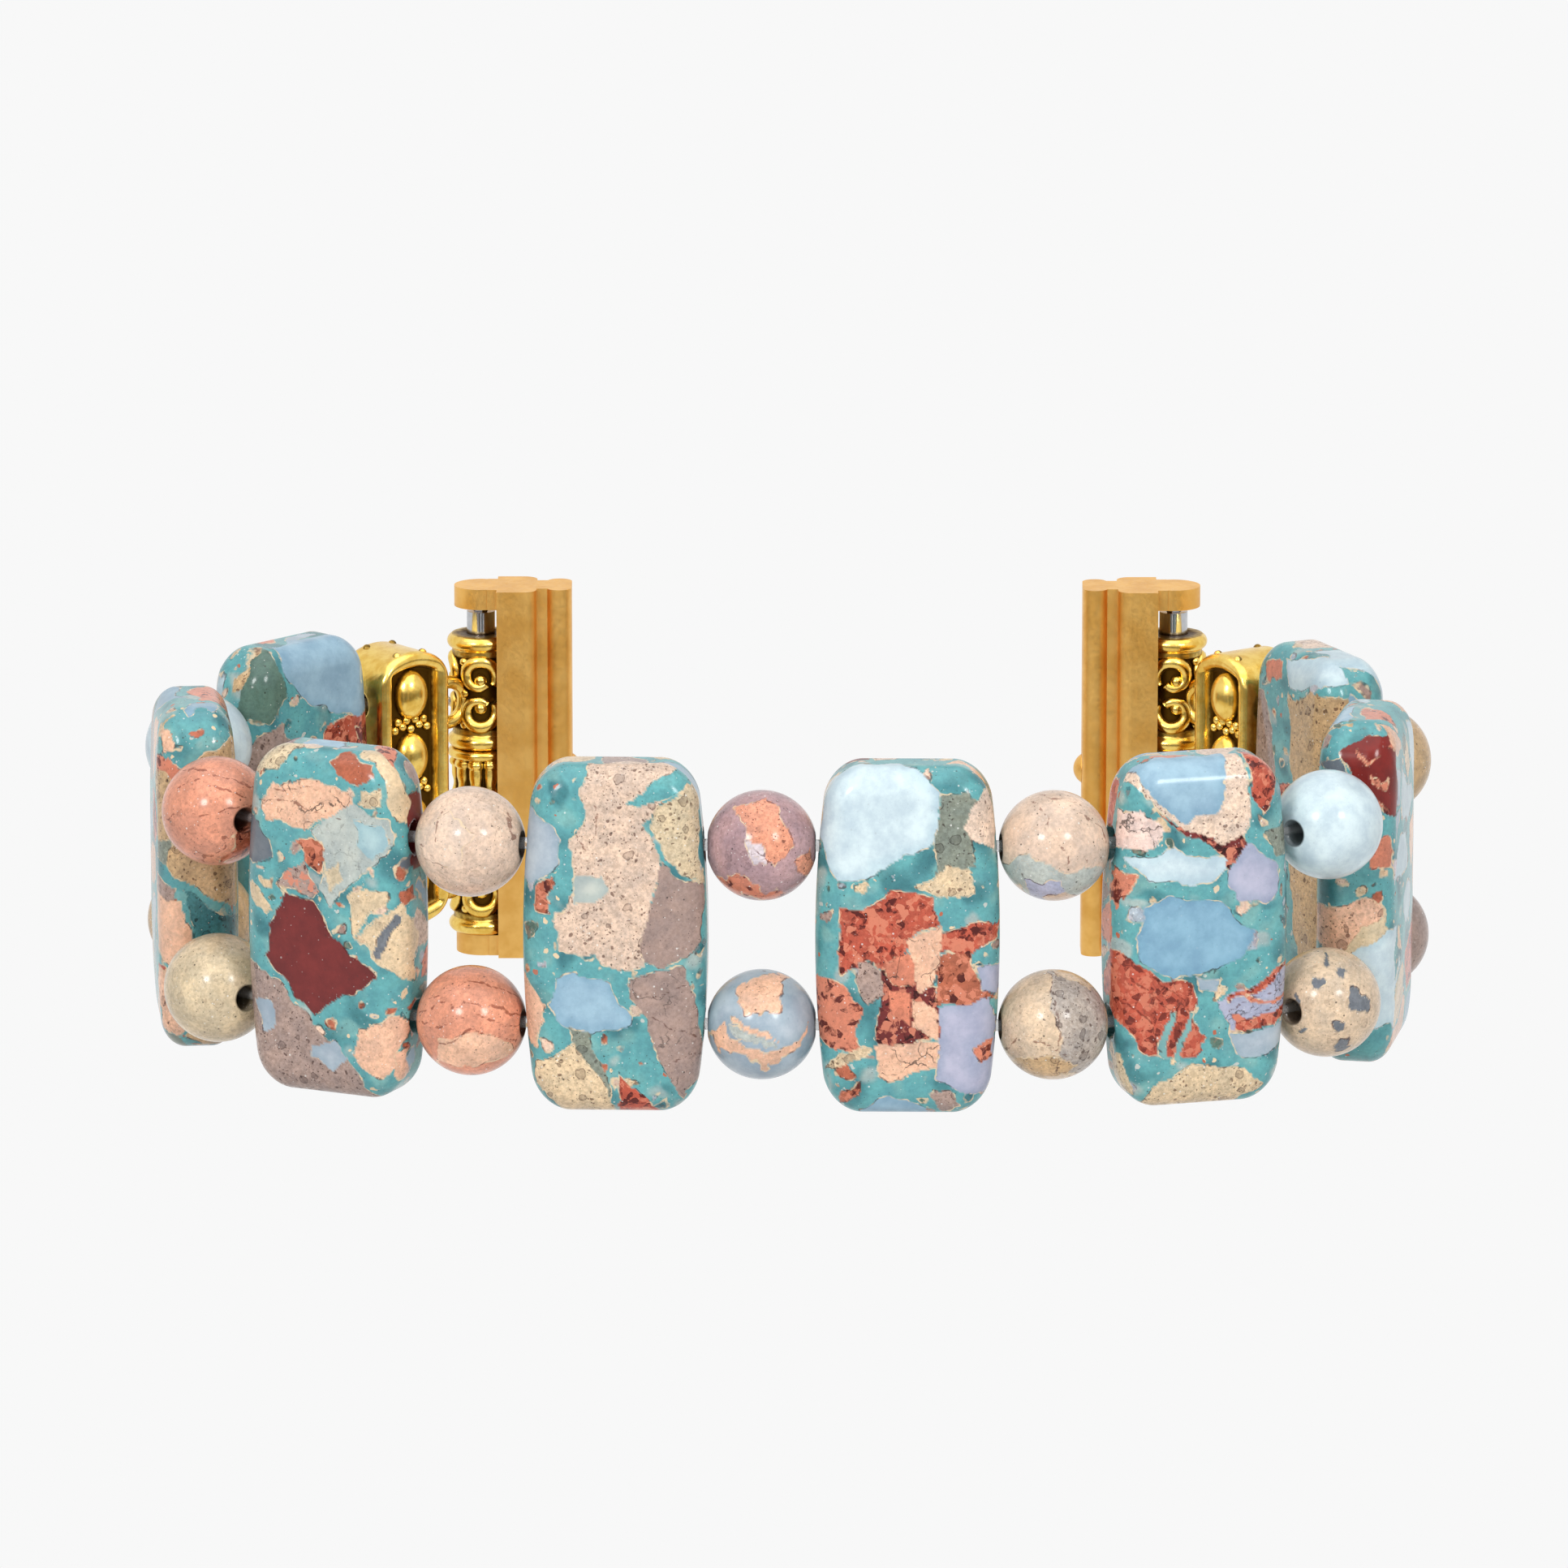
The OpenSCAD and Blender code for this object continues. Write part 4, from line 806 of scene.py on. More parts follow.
def slabShape():
    # Rounded block: each lattice point is drawn to the nearest point of a thin plate with round corners, then
    # set off from it by the edge radius. Width shrinks with (z/h)^2, and thickness with the square of the way
    # outwards.
    half = np.array([slabs["width"], slabs["thick"], slabs["height"]]) / 2
    unit, faces = blockLattice(half, slabs["cell"])
    p = unit * half
    r, plate = slabs["edge"], slabs["corner"] - slabs["edge"]
    flat = p[:, [0, 2]]
    inner = np.clip(flat, -(half[[0, 2]] - r - plate), half[[0, 2]] - r - plate)
    away = flat - inner
    reach = np.linalg.norm(away, axis=1)[:, None]
    core = np.where(reach > plate, inner + away * plate / np.maximum(reach, 1e-9), flat)
    core = np.stack([core[:, 0], np.clip(p[:, 1], -(half[1] - r), half[1] - r), core[:, 1]], axis=1)
    out = p - core
    p = core + out / np.linalg.norm(out, axis=1)[:, None] * r
    xx, zz = (p[:, 0] / half[0]) ** 2, (p[:, 2] / half[2]) ** 2
    p[:, 0] *= 1 - (1 - slabs["endWidth"] / slabs["width"]) * zz
    p[:, 1] *= 1 - slabs["crown"] / half[1] * np.maximum(xx, zz)
    return p, faces


def drilled(p):
    # The cord's holes in the narrow sides: points within the hole's radius sink straight in.
    shape = p.copy()
    for side in levels.values():
        around = np.hypot(p[:, 1], p[:, 2] - side * holeHeight)
        sunk = smooth(slabs["holeRadius"] + slabs["holeFlare"], slabs["holeRadius"], around)
        sunk = sunk * (np.abs(p[:, 0]) > slabs["width"] * slabs["sideShare"])
        shape[:, 0] -= np.sign(p[:, 0]) * sunk * slabs["holeDepth"]
    return shape


def wobbled(points, wobble, seed, salt):
    # the points pushed about by soft noise of several sizes
    return points + sum(waved(points, size, seed + salt * k) * push for k, (size, push) in enumerate(wobble))


def shards(p, pitch, seed, names, gap):
    # broken pieces with a colour each, and the distance to the piece's edge, less than nothing in the gaps
    best, second, code = brokenStone(p, pitch, seed)
    low, high = gap
    dark, light = slabs["tint"]
    edge = (second - best) / 2 - low - (high - low) * hashed(code, 7)
    pick = (hashed(code, 5) * len(names)).astype(int)
    table = np.array([ink[name] for name in names])
    return table[pick] * (dark + (light - dark) * hashed(code, 6))[:, None], edge, pick


def paintSlab(number, p):
    # Colour, kind, distance to the chip's edge and to the nearest vein, for every point of one slab.
    seed = 40 + number
    q = wobbled(p, slabs["wobble"], seed, 10)
    colour = ink[slabs["ground"]]
    for k, (name, size, low, high, share) in enumerate(slabs["shades"]):
        shade = smooth(low, high, waves(q, size, seed + 20 + k))[:, None] * share
        colour = colour * (1 - shade) + ink[name] * shade
    kind = np.tile(np.array(kinds["ground"], dtype=float), (len(p), 1))
    bits, edge, _ = shards(q, slabs["bitPitch"], seed + 30, slabs["bits"], slabs["bitGap"])
    colour[edge > 0] = bits[edge > 0]
    kind[edge > 0] = kinds["bit"]
    # how deep each point lies behind each face, and where it lies on it
    half = [slabs["width"] / 2, slabs["thick"] / 2]
    views = {
        "back": (half[1] - p[:, 1], np.stack([-q[:, 0], q[:, 2]], axis=1)),
        "low": (p[:, 0] + half[0], np.stack([-q[:, 1], q[:, 2]], axis=1)),
        "high": (half[0] - p[:, 0], q[:, [1, 2]]),
        "front": (p[:, 1] + half[1], q[:, [0, 2]]),
    }
    reach = slabs["chipDepth"] + slabs["depthPush"] * waves(p, 2.0, seed + 70)
    drawn = {face: slabs["chips"].get("slab_%d %s" % (number, face), []) for face in views}
    # chips that no outline places, kept clear of the faces that have outlines
    clear = np.ones(len(p), dtype=bool)
    for face, (depth, flat) in views.items():
        if drawn[face]:
            clear &= depth > reach
    big, bigEdge, bigPick = shards(q, slabs["loosePitch"], seed + 60, slabs["loose"], slabs["looseGap"])
    looseKinds = np.array([kinds[name] for name in slabs["looseKinds"]])
    take = clear & (bigEdge > 0)
    colour[take] = big[take]
    kind[take] = looseKinds[bigPick[take]]
    edge = np.where(take, bigEdge, np.where(clear, np.maximum(edge, bigEdge), edge))
    # chips and veins by their outlines, the later over the earlier
    vein = np.full(len(p), 9.0)
    for face, (depth, flat) in views.items():
        rows = np.flatnonzero(depth < reach)
        for code, kindName, outline in drawn[face]:
            d = outlineDistance(flat[rows], outline)
            inside = rows[d > 0]
            colour[inside] = ink[code]
            kind[inside] = kinds[kindName]
            before = edge[rows]
            outside = np.where(np.abs(before) < -d, before, np.sign(before) * -d)
            edge[rows] = np.where(d > 0, d, outside)
        lines = slabs["veins"].get("slab_%d %s" % (number, face), [])
        vein[rows] = np.minimum(vein[rows], pathDistance(flat[rows], lines))
    return colour, kind, edge, vein


def addStone(name, points, faces, material, node, paint):
    # a slab or bead with the four attributes that its material reads
    colour, kind, edge, vein = paint
    colours, values = {"chipColour": colour, "chipKind": kind}, {"chipEdge": edge, "vein": vein}
    addPiece(name, points, faces, material, node, node, colours, values)


slabPoints, slabFaces = slabShape()
for number in range(1, 9):
    node = "slab_%d" % number
    points = placed(drilled(slabPoints), centreOf(node), headings[number])
    addStone("stone_" + node, points, slabFaces, slabStone, node, paintSlab(number, slabPoints))
print("slabs made")


beads = {
    "radius": 3.15, "hole": 0.75, "paintedBoreShade": 0.35, "rows": 86, "boreRows": 6, "columns": 132,
    "front": (0.0, -0.973, 0.23),  # the way that the looks face
    "wobble": [(0.9, 0.09), (0.25, 0.03)], "wrap": 0.35,
    # how much the ground and the blobs change in tone, and over what distance in radii
    "tint": (0.07, 1.0), "blobTint": (0.05, 0.8),
    "spots": ((0.3, 0.62, 0.13), (-0.2, 0.33, 0.1), (0.62, 0.05, 0.2), (0.15, -0.4, 0.11),
              (-0.45, -0.5, 0.08), (-0.05, 0.75, 0.07), (0.35, -0.72, 0.12), (-0.6, 0.1, 0.06)),
}
# What shows on each bead: ground colour and kind, blobs (colour, kind, outline on a disc of radius 1) and
# thin lines
beads["looks"] = {
    "lower_1": ("tan", "speckled", [], []),
    "upper_1": ("paleBlue", "glassy", [], []),
    "lower_2": ("oliveCream", "speckled", [], []),
    "upper_2": ("apricot", "speckled", [
        ("rust", "rough", [(0.1, -0.95), (0.75, -0.75), (0.95, -0.1), (0.55, -0.3), (0.3, -0.6)]),
    ], [
        [(-0.7, 0.7), (-0.1, 0.75), (0.6, 0.5), (0.9, 0.3)],
        [(-0.8, 0.5), (-0.2, 0.55), (0.5, 0.3), (0.95, 0.1)],
        [(-0.9, -0.1), (-0.2, 0.0), (0.5, 0.1), (0.95, 0.0)],
        [(-0.2, -0.9), (0.3, -0.5), (0.9, -0.3)],
    ]),
    "lower_3": ("apricot", "speckled", [
        ("peach", "speckled", [(-0.6, -0.3), (0.4, -0.25), (0.8, -0.5), (0.1, -0.9), (-0.6, -0.75)]),
    ], [
        [(-0.8, 0.45), (0.0, 0.7), (0.9, 0.45)],
        [(-0.9, 0.15), (-0.1, 0.4), (0.9, 0.2)],
        [(-0.9, -0.1), (0.0, 0.12), (0.95, -0.05)],
        [(-0.7, -0.5), (0.1, -0.2), (0.85, -0.4)],
    ]),
    "upper_3": ("bone", "speckled", [
        ("blush", "plain", [(-0.9, 0.2), (-0.3, 0.6), (0.1, 0.1), (-0.2, -0.5), (-0.8, -0.4)]),
    ], [
        [(-0.5, 0.65), (-0.6, 0.1)],
        [(0.72, 0.5), (0.78, 0.1)],
        [(-0.8, -0.1), (-0.65, -0.3)],
    ]),
    "lower_4": ("greyBlue", "glassy", [
        ("peach", "speckled", [(-0.42, 0.8), (-0.05, 0.95), (0.4, 0.85), (0.5, 0.5), (0.3, 0.22),
            (-0.2, 0.2), (-0.45, 0.45)]),
        ("peach", "plain", [(-0.95, -0.15), (-0.7, 0.1), (-0.62, -0.2), (-0.3, -0.5), (0.2, -0.55),
            (0.7, -0.3), (0.85, 0.1), (0.75, -0.35), (0.35, -0.72), (-0.3, -0.7), (-0.8, -0.5)]),
        ("peach", "plain", [(-0.55, 0.12), (0.1, -0.08), (0.42, -0.3), (0.1, -0.2), (-0.5, 0.02)]),
        ("paleGrey", "plain", [(-0.6, 0.0), (0.1, -0.22), (0.4, -0.4), (0.1, -0.42), (-0.45, -0.25)]),
    ], [
    ]),
    "upper_4": ("mauve", "speckled", [
        ("apricot", "porous", [(-0.45, 0.8), (0.1, 0.85), (0.45, 0.5), (0.5, 0.0), (0.3, -0.4), (0.0, -0.1),
            (-0.2, 0.3), (-0.4, 0.5)]),
        ("salmon", "rough", [(-0.9, -0.55), (-0.2, -0.72), (0.4, -0.8), (0.3, -0.95), (-0.5, -0.9)]),
        ("apricot", "porous", [(0.62, -0.3), (0.9, -0.05), (0.95, -0.35), (0.75, -0.6)]),
        ("roseGrey", "plain", [(-0.2, 0.15), (0.05, 0.05), (0.15, -0.35), (-0.1, -0.4)]),
    ], [
    ]),
    "lower_5": ("sand", "speckled", [
        ("stoneGrey", "porous", [(-0.05, 0.95), (0.9, 0.6), (1.0, -0.3), (0.6, -0.9), (0.0, -1.0),
            (0.15, -0.4), (0.0, 0.3)]),
        ("tan", "porous", [(-0.8, -0.7), (-0.2, -0.55), (0.5, -0.75), (0.3, -1.0), (-0.5, -1.0)]),
    ], [
        [(-0.1, 0.9), (0.1, 0.4), (0.05, -0.3), (0.2, -0.6)],
        [(-0.9, -0.45), (-0.2, -0.3), (0.15, -0.5)],
    ]),
    "upper_5": ("bone", "plain", [
        ("paleGrey", "plain", [(-0.95, -0.35), (-0.2, -0.3), (0.2, -0.5), (0.5, -0.4), (0.95, -0.5),
            (0.6, -0.95), (-0.5, -0.95)]),
        ("lavender", "plain", [(-0.6, -0.62), (0.1, -0.68), (0.2, -0.95), (-0.4, -0.95)]),
    ], [
        [(-0.5, 0.75), (-0.1, 0.55), (-0.05, 0.2), (0.2, -0.1), (0.15, -0.4)],
        [(-0.3, 0.85), (0.3, 0.8), (0.6, 0.65)],
        [(0.2, -0.1), (0.5, -0.1), (0.6, -0.3)],
        [(0.5, 0.5), (0.8, 0.3), (0.9, 0.0)],
    ]),
    "upper_6": ("paleBlue", "glassy", [], []),
    "lower_7": ("greyBrown", "speckled", [], []),
    "upper_7": ("tan", "speckled", [], []),
}


def roundSpot(x, y, radius):
    # a many-sided outline, a little taller than wide
    turn = np.linspace(0, 2 * np.pi, 9)[:-1]
    return [(x + radius * math.cos(t), y + 1.15 * radius * math.sin(t)) for t in turn]


spots = [("slate", "plain", roundSpot(*spot)) for spot in beads["spots"]]
beads["looks"]["lower_6"] = ("sand", "speckled", spots, [])


def beadShape():
    # A ball turned about its bore, which runs along x: an arc from mouth to mouth, and back down the bore.
    radius, bore = beads["radius"], beads["boreRows"]
    mouth = math.asin(beads["hole"] / radius)
    arc = np.linspace(mouth, math.pi - mouth, beads["rows"])
    back = np.linspace(-math.cos(mouth), math.cos(mouth), bore + 2)[1:-1]
    along = np.concatenate([np.cos(arc) * radius, back * radius])[:, None]
    around = np.concatenate([np.sin(arc) * radius, np.full(bore, beads["hole"])])[:, None]
    turn = np.linspace(0, 2 * np.pi, beads["columns"], endpoint=False)
    points = np.stack([along + 0 * turn, around * np.cos(turn), around * np.sin(turn)], axis=-1)
    return points.reshape(-1, 3), wrapGrid(len(along), beads["columns"], True)


def paintBead(look, p, heading, seed):
    # The look is laid on along the front direction and carries on through the ball, bent by soft noise.
    ground, groundKind, blobs, lines = look
    turned = placed(p, (0, 0, 0), heading) * 1000 / beads["radius"]
    forward = np.array(beads["front"])
    up = np.array([0.0, forward[2], -forward[1]])
    bent = wobbled(turned, beads["wobble"], seed, 5)
    disc = np.stack([bent[:, 0], bent @ up], axis=1)
    disc[:, 0] += beads["wrap"] * np.maximum(0, -(turned @ forward))
    share, size = beads["tint"]
    colour = np.tile(ink[ground], (len(p), 1)) * (1 + share * waves(turned, size, seed + 9))[:, None]
    kind = np.tile(np.array(kinds[groundKind], dtype=float), (len(p), 1))
    edge = np.full(len(p), -1.0)
    share, size = beads["blobTint"]
    for code, kindName, outline in blobs:
        d = outlineDistance(disc, outline) * beads["radius"]
        colour[d > 0] = ink[code] * (1 + share * waves(turned[d > 0], size, seed + 12))[:, None]
        kind[d > 0] = kinds[kindName]
        edge = np.where(np.abs(d) < np.abs(edge), d, edge)
    # the bore is dark inside: painted shade
    colour[np.hypot(p[:, 1], p[:, 2]) < beads["hole"] + 0.02] *= beads["paintedBoreShade"]
    return colour, kind, edge, pathDistance(disc, lines) * beads["radius"]


beadPoints, beadFaces = beadShape()
for level in levels:
    for number in range(1, 8):
        name = "%s_%d" % (level, number)
        heading = (headings[number] + headings[number + 1]) / 2
        paint = paintBead(beads["looks"][name], beadPoints, heading, number * 7 + len(level))
        points = placed(beadPoints, centreOf("round_" + name), heading)
        addStone("stone_bead_" + name, points, beadFaces, beadStone, "round_" + name, paint)
print("beads made")


spacer = {
    "width": 5.2, "thick": 4.4, "height": 16.9, "arch": 1.0, "cornerRadius": 1.0, "cell": 0.085, "rod": 0.95,
    "field": 1.45, "cabochons": 4, "cabochonPitch": 3.85, "cabochonWidth": 2.3, "cabochonHeight": 3.1,
    "cabochonRise": 1.0, "cabochonRows": 22, "cabochonColumns": 36,
    "slotWidth": 2.7, "slotDepth": 0.9, "slotRoom": 0.1, "holeRadius": 0.75, "holeDepth": 2.0,
    # how dark the patina and painted shade is: on the sunk field, on the rod, on the narrow sides, at the
    # cabochons' feet and at the grains' feet
    "fieldShade": 0.95, "rodShade": 0.35, "sideShade": 0.1, "domeShade": 0.75, "grainShade": 0.7,
    # the grains between two cabochons, and between the last one and the rod: across and up
    "grain": 0.28, "grainStand": 0.05, "grainSpread": 0.9,
    "grainsBetween": [(-1.2, 0.18), (-0.62, -0.02), (0, 0.2), (0.62, -0.02), (1.2, 0.18), (-0.95, -0.38),
                      (0.95, -0.38), (-0.32, -0.42), (0.32, -0.42)],
    "grainsLast": [(-0.95, 0.55), (-0.35, 0.5), (0.3, 0.5), (0.95, 0.55), (-0.6, 0.0), (0.6, 0.0),
                   (0.0, -0.05)],
}
bail = {
    "height": 7.0, "core": 1.5, "bore": 0.9, "rimOuter": 2.05, "rim": 0.9, "wire": 0.35,
    # the step, and the radii where the patina and painted shade starts and where it is full
    "stepRise": 0.25, "stepDown": 1.05, "stepWide": 0.3, "shade": (1.95, 1.6),
    "loopAt": 2.65, "loopOffset": 0.45, "loopRadius": 1.25, "loopWire": 0.4, "motifs": 2,
    "rows": 76, "columns": 72, "curlPoints": 40, "loopPoints": 64, "loopSides": 18,
    # each motif has four curls: their centres, radius, how much it shrinks, and where they start and turn to
    "curlAcross": 1.24, "curlUp": 1.12, "curl": 0.95, "curlWide": 1.12, "curlShrink": 0.42, "curlStart": 215,
    "curlTurn": 345, "relief": 0.12, "grain": 0.4, "smallGrain": 0.3,
    "grains": [(-1.2, -0.85), (-1.2, 0.85), (1.2, -0.85), (1.2, 0.85)], "smallGrains": [-1.95, 0.0, 1.95],
}
# the loops' heights from the spacer bar's middle, which its slots repeat
loopReach = bail["loopRadius"] + bail["loopWire"]
barMiddle = centreOf("left_spacer_bar")[2]
loopHeights = {side: centreOf("left_%s_bail" % level)[2] - side * bail["loopOffset"] - barMiddle
               for level, side in levels.items()}
spool = {
    "height": 4.4, "core": 1.4, "bore": 0.9, "rimOuter": 2.05, "rim": 0.62, "ribs": 10, "ribRise": 0.42,
    "scallop": 0.56, "scallopCore": 1.55, "waist": 0.06, "waistHalf": 0.6, "shade": (1.82, 1.5),
    "rows": 70, "columns": 160,
}


def ballSurface(centre, size, rows, columns):
    # A ball or ellipsoid with its poles on y: rows of rings between two pole points.
    polar = np.linspace(0, np.pi, rows + 1)[1:-1][:, None]
    turn = np.linspace(0, 2 * np.pi, columns, endpoint=False)
    ring = [np.sin(polar) * np.sin(turn), np.cos(polar) + 0 * turn, np.sin(polar) * np.cos(turn)]
    points = np.vstack([np.stack(ring, axis=-1).reshape(-1, 3), [(0, 1, 0), (0, -1, 0)]])
    first = np.arange(columns)
    last = first + (len(polar) - 1) * columns
    caps = np.vstack([fan(len(points) - 2, first), fan(len(points) - 1, last)[:, ::-1]])
    points = points * np.array(size) + np.array(centre)
    return allTriangles(points, wrapGrid(len(polar), columns)[:, ::-1], caps)


def grainSurface(centre, size, rows=8, columns=12):
    # a small ball
    return ballSurface(centre, [size] * 3, rows, columns)


def spacerShell():
    # Block lattice pressed to the bar's outline, then both broad faces follow the relief: a round rod along
    # the edge and a sunk field. The side faces have the cord's holes and the slots for the bails' loops.
    half = np.array([spacer["width"], spacer["thick"], spacer["height"]]) / 2
    unit, faces = blockLattice(half, spacer["cell"])
    x, z = unit[:, 0] * half[0], unit[:, 2] * half[2]
    r, rod = spacer["cornerRadius"], spacer["rod"]
    # round the outline's corners, then bow the ends
    cx, cz = np.clip(x, -(half[0] - r), half[0] - r), np.clip(z, -(half[2] - r), half[2] - r)
    ax, az = x - cx, z - cz
    square = np.maximum(np.abs(ax), np.abs(az))
    length = np.hypot(ax, az)
    shrink = np.where(length > 1e-9, square / np.maximum(length, 1e-9), 1)
    x, z = cx + ax * shrink, cz + az * shrink
    rim = r - np.hypot(x - cx, z - cz)
    corner = (np.abs(ax) > 0) & (np.abs(az) > 0)
    inset = np.where(corner, rim, np.minimum(half[0] - np.abs(x), half[2] - np.abs(z)))
    z = z * (half[2] - spacer["arch"] * (2 * x / spacer["width"]) ** 2) / half[2]
    across = np.clip(inset, 0, rod) - rod / 2
    rise = half[1] - rod / 2 + np.sqrt(np.maximum((rod / 2) ** 2 - across ** 2, 0))
    wall = smooth(rod - 0.02, rod + 0.1, inset)
    relief = rise * (1 - wall) + spacer["field"] * wall
    face = np.abs(unit[:, 1]) > 0.999
    y = np.where(face, np.sign(unit[:, 1]) * relief, unit[:, 1] * (half[1] - rod / 2))
    # patina and painted shade: the sunk field, the rod's inner side and the narrow sides are darkened
    rodDark = (1 - wall) * smooth(0.0, 1.0, inset / rod * 2 - 1) * spacer["rodShade"]
    hollow = np.where(face, wall * spacer["fieldShade"] + rodDark, spacer["sideShade"])
    hole, slotEnd = spacer["holeRadius"], loopReach + spacer["slotRoom"]
    for side in levels.values():
        around = np.hypot(y, z - side * holeHeight)
        sunk = smooth(hole + 0.05, hole - 0.05, around) * (unit[:, 0] < -0.999)
        x = x + sunk * spacer["holeDepth"]
        slot = smooth(spacer["slotWidth"] / 2 + 0.04, spacer["slotWidth"] / 2 - 0.06, np.abs(y))
        slot = slot * smooth(slotEnd + 0.06, slotEnd - 0.06, np.abs(z - loopHeights[side]))
        slot = slot * (unit[:, 0] > 0.999)
        x = x - slot * spacer["slotDepth"]
        # the cord's holes and the loops' slots are darkened fully: painted shade and patina
        hollow = np.maximum(hollow, np.maximum(sunk, slot))
    return (*allTriangles(np.stack([x, y, z], axis=1), faces), hollow)


def spacerPiece():
    # the shell with a row of cabochons on each broad face, and a group of grains on each side of every one
    parts = [spacerShell()]
    count, pitch = spacer["cabochons"], spacer["cabochonPitch"]
    rows, columns = spacer["cabochonRows"], spacer["cabochonColumns"]
    field, stand = spacer["field"], spacer["grainStand"]
    size = (spacer["cabochonWidth"] / 2, spacer["cabochonRise"], spacer["cabochonHeight"] / 2)
    for side in (-1, 1):
        for k in range(count):
            p, f = ballSurface((0, side * field, (k - (count - 1) / 2) * pitch), size, rows, columns)
            # each cabochon is darker towards its foot on the field: painted shade and patina
            parts.append((p, f, spacer["domeShade"] * smooth(0.45, 0.05, np.abs(p[:, 1]) - field)))
        for k in range(count + 1):
            middle = (k - count / 2) * pitch
            up = -1 if k == count else 1
            for across, height in spacer["grainsLast" if k in (0, count) else "grainsBetween"]:
                centre = (across, side * (field + stand), middle - up * height * spacer["grainSpread"])
                p, f = grainSurface(centre, spacer["grain"])
                # each grain is darker towards its foot: painted shade and patina
                proud = np.abs(p[:, 1]) - field - stand
                parts.append((p, f, spacer["grainShade"] * smooth(0.16, 0.0, proud)))
    return joined(parts)


def lathed(size, outer):
    # A body turned about z: outer(angle, height) gives the radius and the patina and painted shade; the
    # inside is a plain bore, darkened with painted shade and patina.
    half, rows, columns = size["height"] / 2, size["rows"], size["columns"]
    turn = np.linspace(0, 2 * np.pi, columns, endpoint=False)
    zz, tt = np.meshgrid(np.linspace(-half, half, rows), turn, indexing="ij")
    radius, hollow = outer(tt, zz)
    inside = np.meshgrid(np.array([1, 1 / 3, -1 / 3, -1]) * half, turn, indexing="ij")
    radius = np.vstack([radius, np.full((4, columns), size["bore"])])
    zz, tt = np.vstack([zz, inside[0]]), np.vstack([tt, inside[1]])
    hollow = np.vstack([hollow, np.full((4, columns), 0.9)])
    points = np.stack([radius * np.cos(tt), radius * np.sin(tt), zz], axis=-1).reshape(-1, 3)
    return (*allTriangles(points, wrapGrid(rows + 4, columns, True)), hollow.ravel())


def roundRim(z, middle, height, outer, core):
    # a half-round rim: radius at z of a ring whose section is a circle as tall as the rim
    h = height / 2
    d = np.clip(z - middle, -h, h)
    return np.where(np.abs(z - middle) < h, outer - h + np.sqrt(np.maximum(h * h - d * d, 0)), core)


def endRims(z, size, core):
    # the greater radius of the two rims at the ends
    at = size["height"] / 2 - size["rim"] / 2
    rims = [roundRim(z, side * at, size["rim"], size["rimOuter"], core) for side in (-1, 1)]
    return np.maximum(*rims)


def wrappedRound(path, radius):
    # a flat drawing (along the round, up) laid round a cylinder
    angle = path[:, 0] / radius
    return np.stack([radius * np.cos(angle), radius * np.sin(angle), path[:, 1]], axis=1)


def bailPiece(loopSide):
    # Turned body with two rims, two scroll motifs of four curls each, grains, and the loop at its side.
    step = bail["height"] / 2 - bail["rim"] / 2 - bail["stepDown"]

    def outer(angle, z):
        core = bail["core"]
        steps = core + bail["stepRise"] * smooth(step, step + bail["stepWide"], np.abs(z))
        radius = np.maximum(endRims(z, bail, core), steps)
        # the core, below the rims and the step, is darker: patina and painted shade
        return radius, smooth(*bail["shade"], radius)

    # a part darker towards its foot on the body: painted shade and patina
    def shaded(part, low):
        p, f = part
        return p, f, smooth(on + 0.16, on - low, np.hypot(p[:, 0], p[:, 1]))

    parts = [lathed(bail, outer)]
    on = bail["core"] + bail["relief"]
    pitch = 2 * math.pi * on / bail["motifs"]
    s = np.linspace(0, 1, bail["curlPoints"])
    for k in range(bail["motifs"]):
        middle = (k + 0.5) * pitch
        for right in (-1, 1):
            for up in (-1, 1):
                # one curl: starts by the motif's axis, arches over its grain and hooks back under it
                turn = np.radians(bail["curlStart"] - bail["curlTurn"] * s)
                reach = bail["curl"] * (bail["curlWide"] - bail["curlShrink"] * s)
                u = right * (bail["curlAcross"] + reach * np.cos(turn))
                v = up * (bail["curlUp"] + reach * np.sin(turn))
                path = wrappedRound(np.stack([middle + u, v], axis=1), on)
                thick = bail["wire"] * (0.8 + 0.35 * np.sin(np.pi * np.minimum(s * 1.25, 1)))
                parts.append(shaded(tubeSurface(path, thick, up=path * (1, 1, 0)), 0.06))
        grains = [(u, v, bail["grain"]) for u, v in bail["grains"]]
        grains += [(pitch / 2, v, bail["smallGrain"]) for v in bail["smallGrains"]]
        for u, v, size in grains:
            spot = wrappedRound(np.array([[middle + u, v]]), on - 0.05)[0]
            parts.append(shaded(grainSurface(spot, size), 0.05))
    # the loop stands on the side towards the spacer bar, a little nearer the band's middle
    turn = np.linspace(0, 2 * np.pi, bail["loopPoints"], endpoint=False)
    radius = bail["loopRadius"]
    height = radius * np.sin(turn) - loopSide * bail["loopOffset"]
    ring = np.stack([bail["loopAt"] + radius * np.cos(turn), 0 * turn, height], axis=1)
    p, f = tubeSurface(ring, bail["loopWire"], bail["loopSides"], True, (0, 1, 0))
    parts.append((p, f, np.zeros(len(p))))
    return joined(parts)


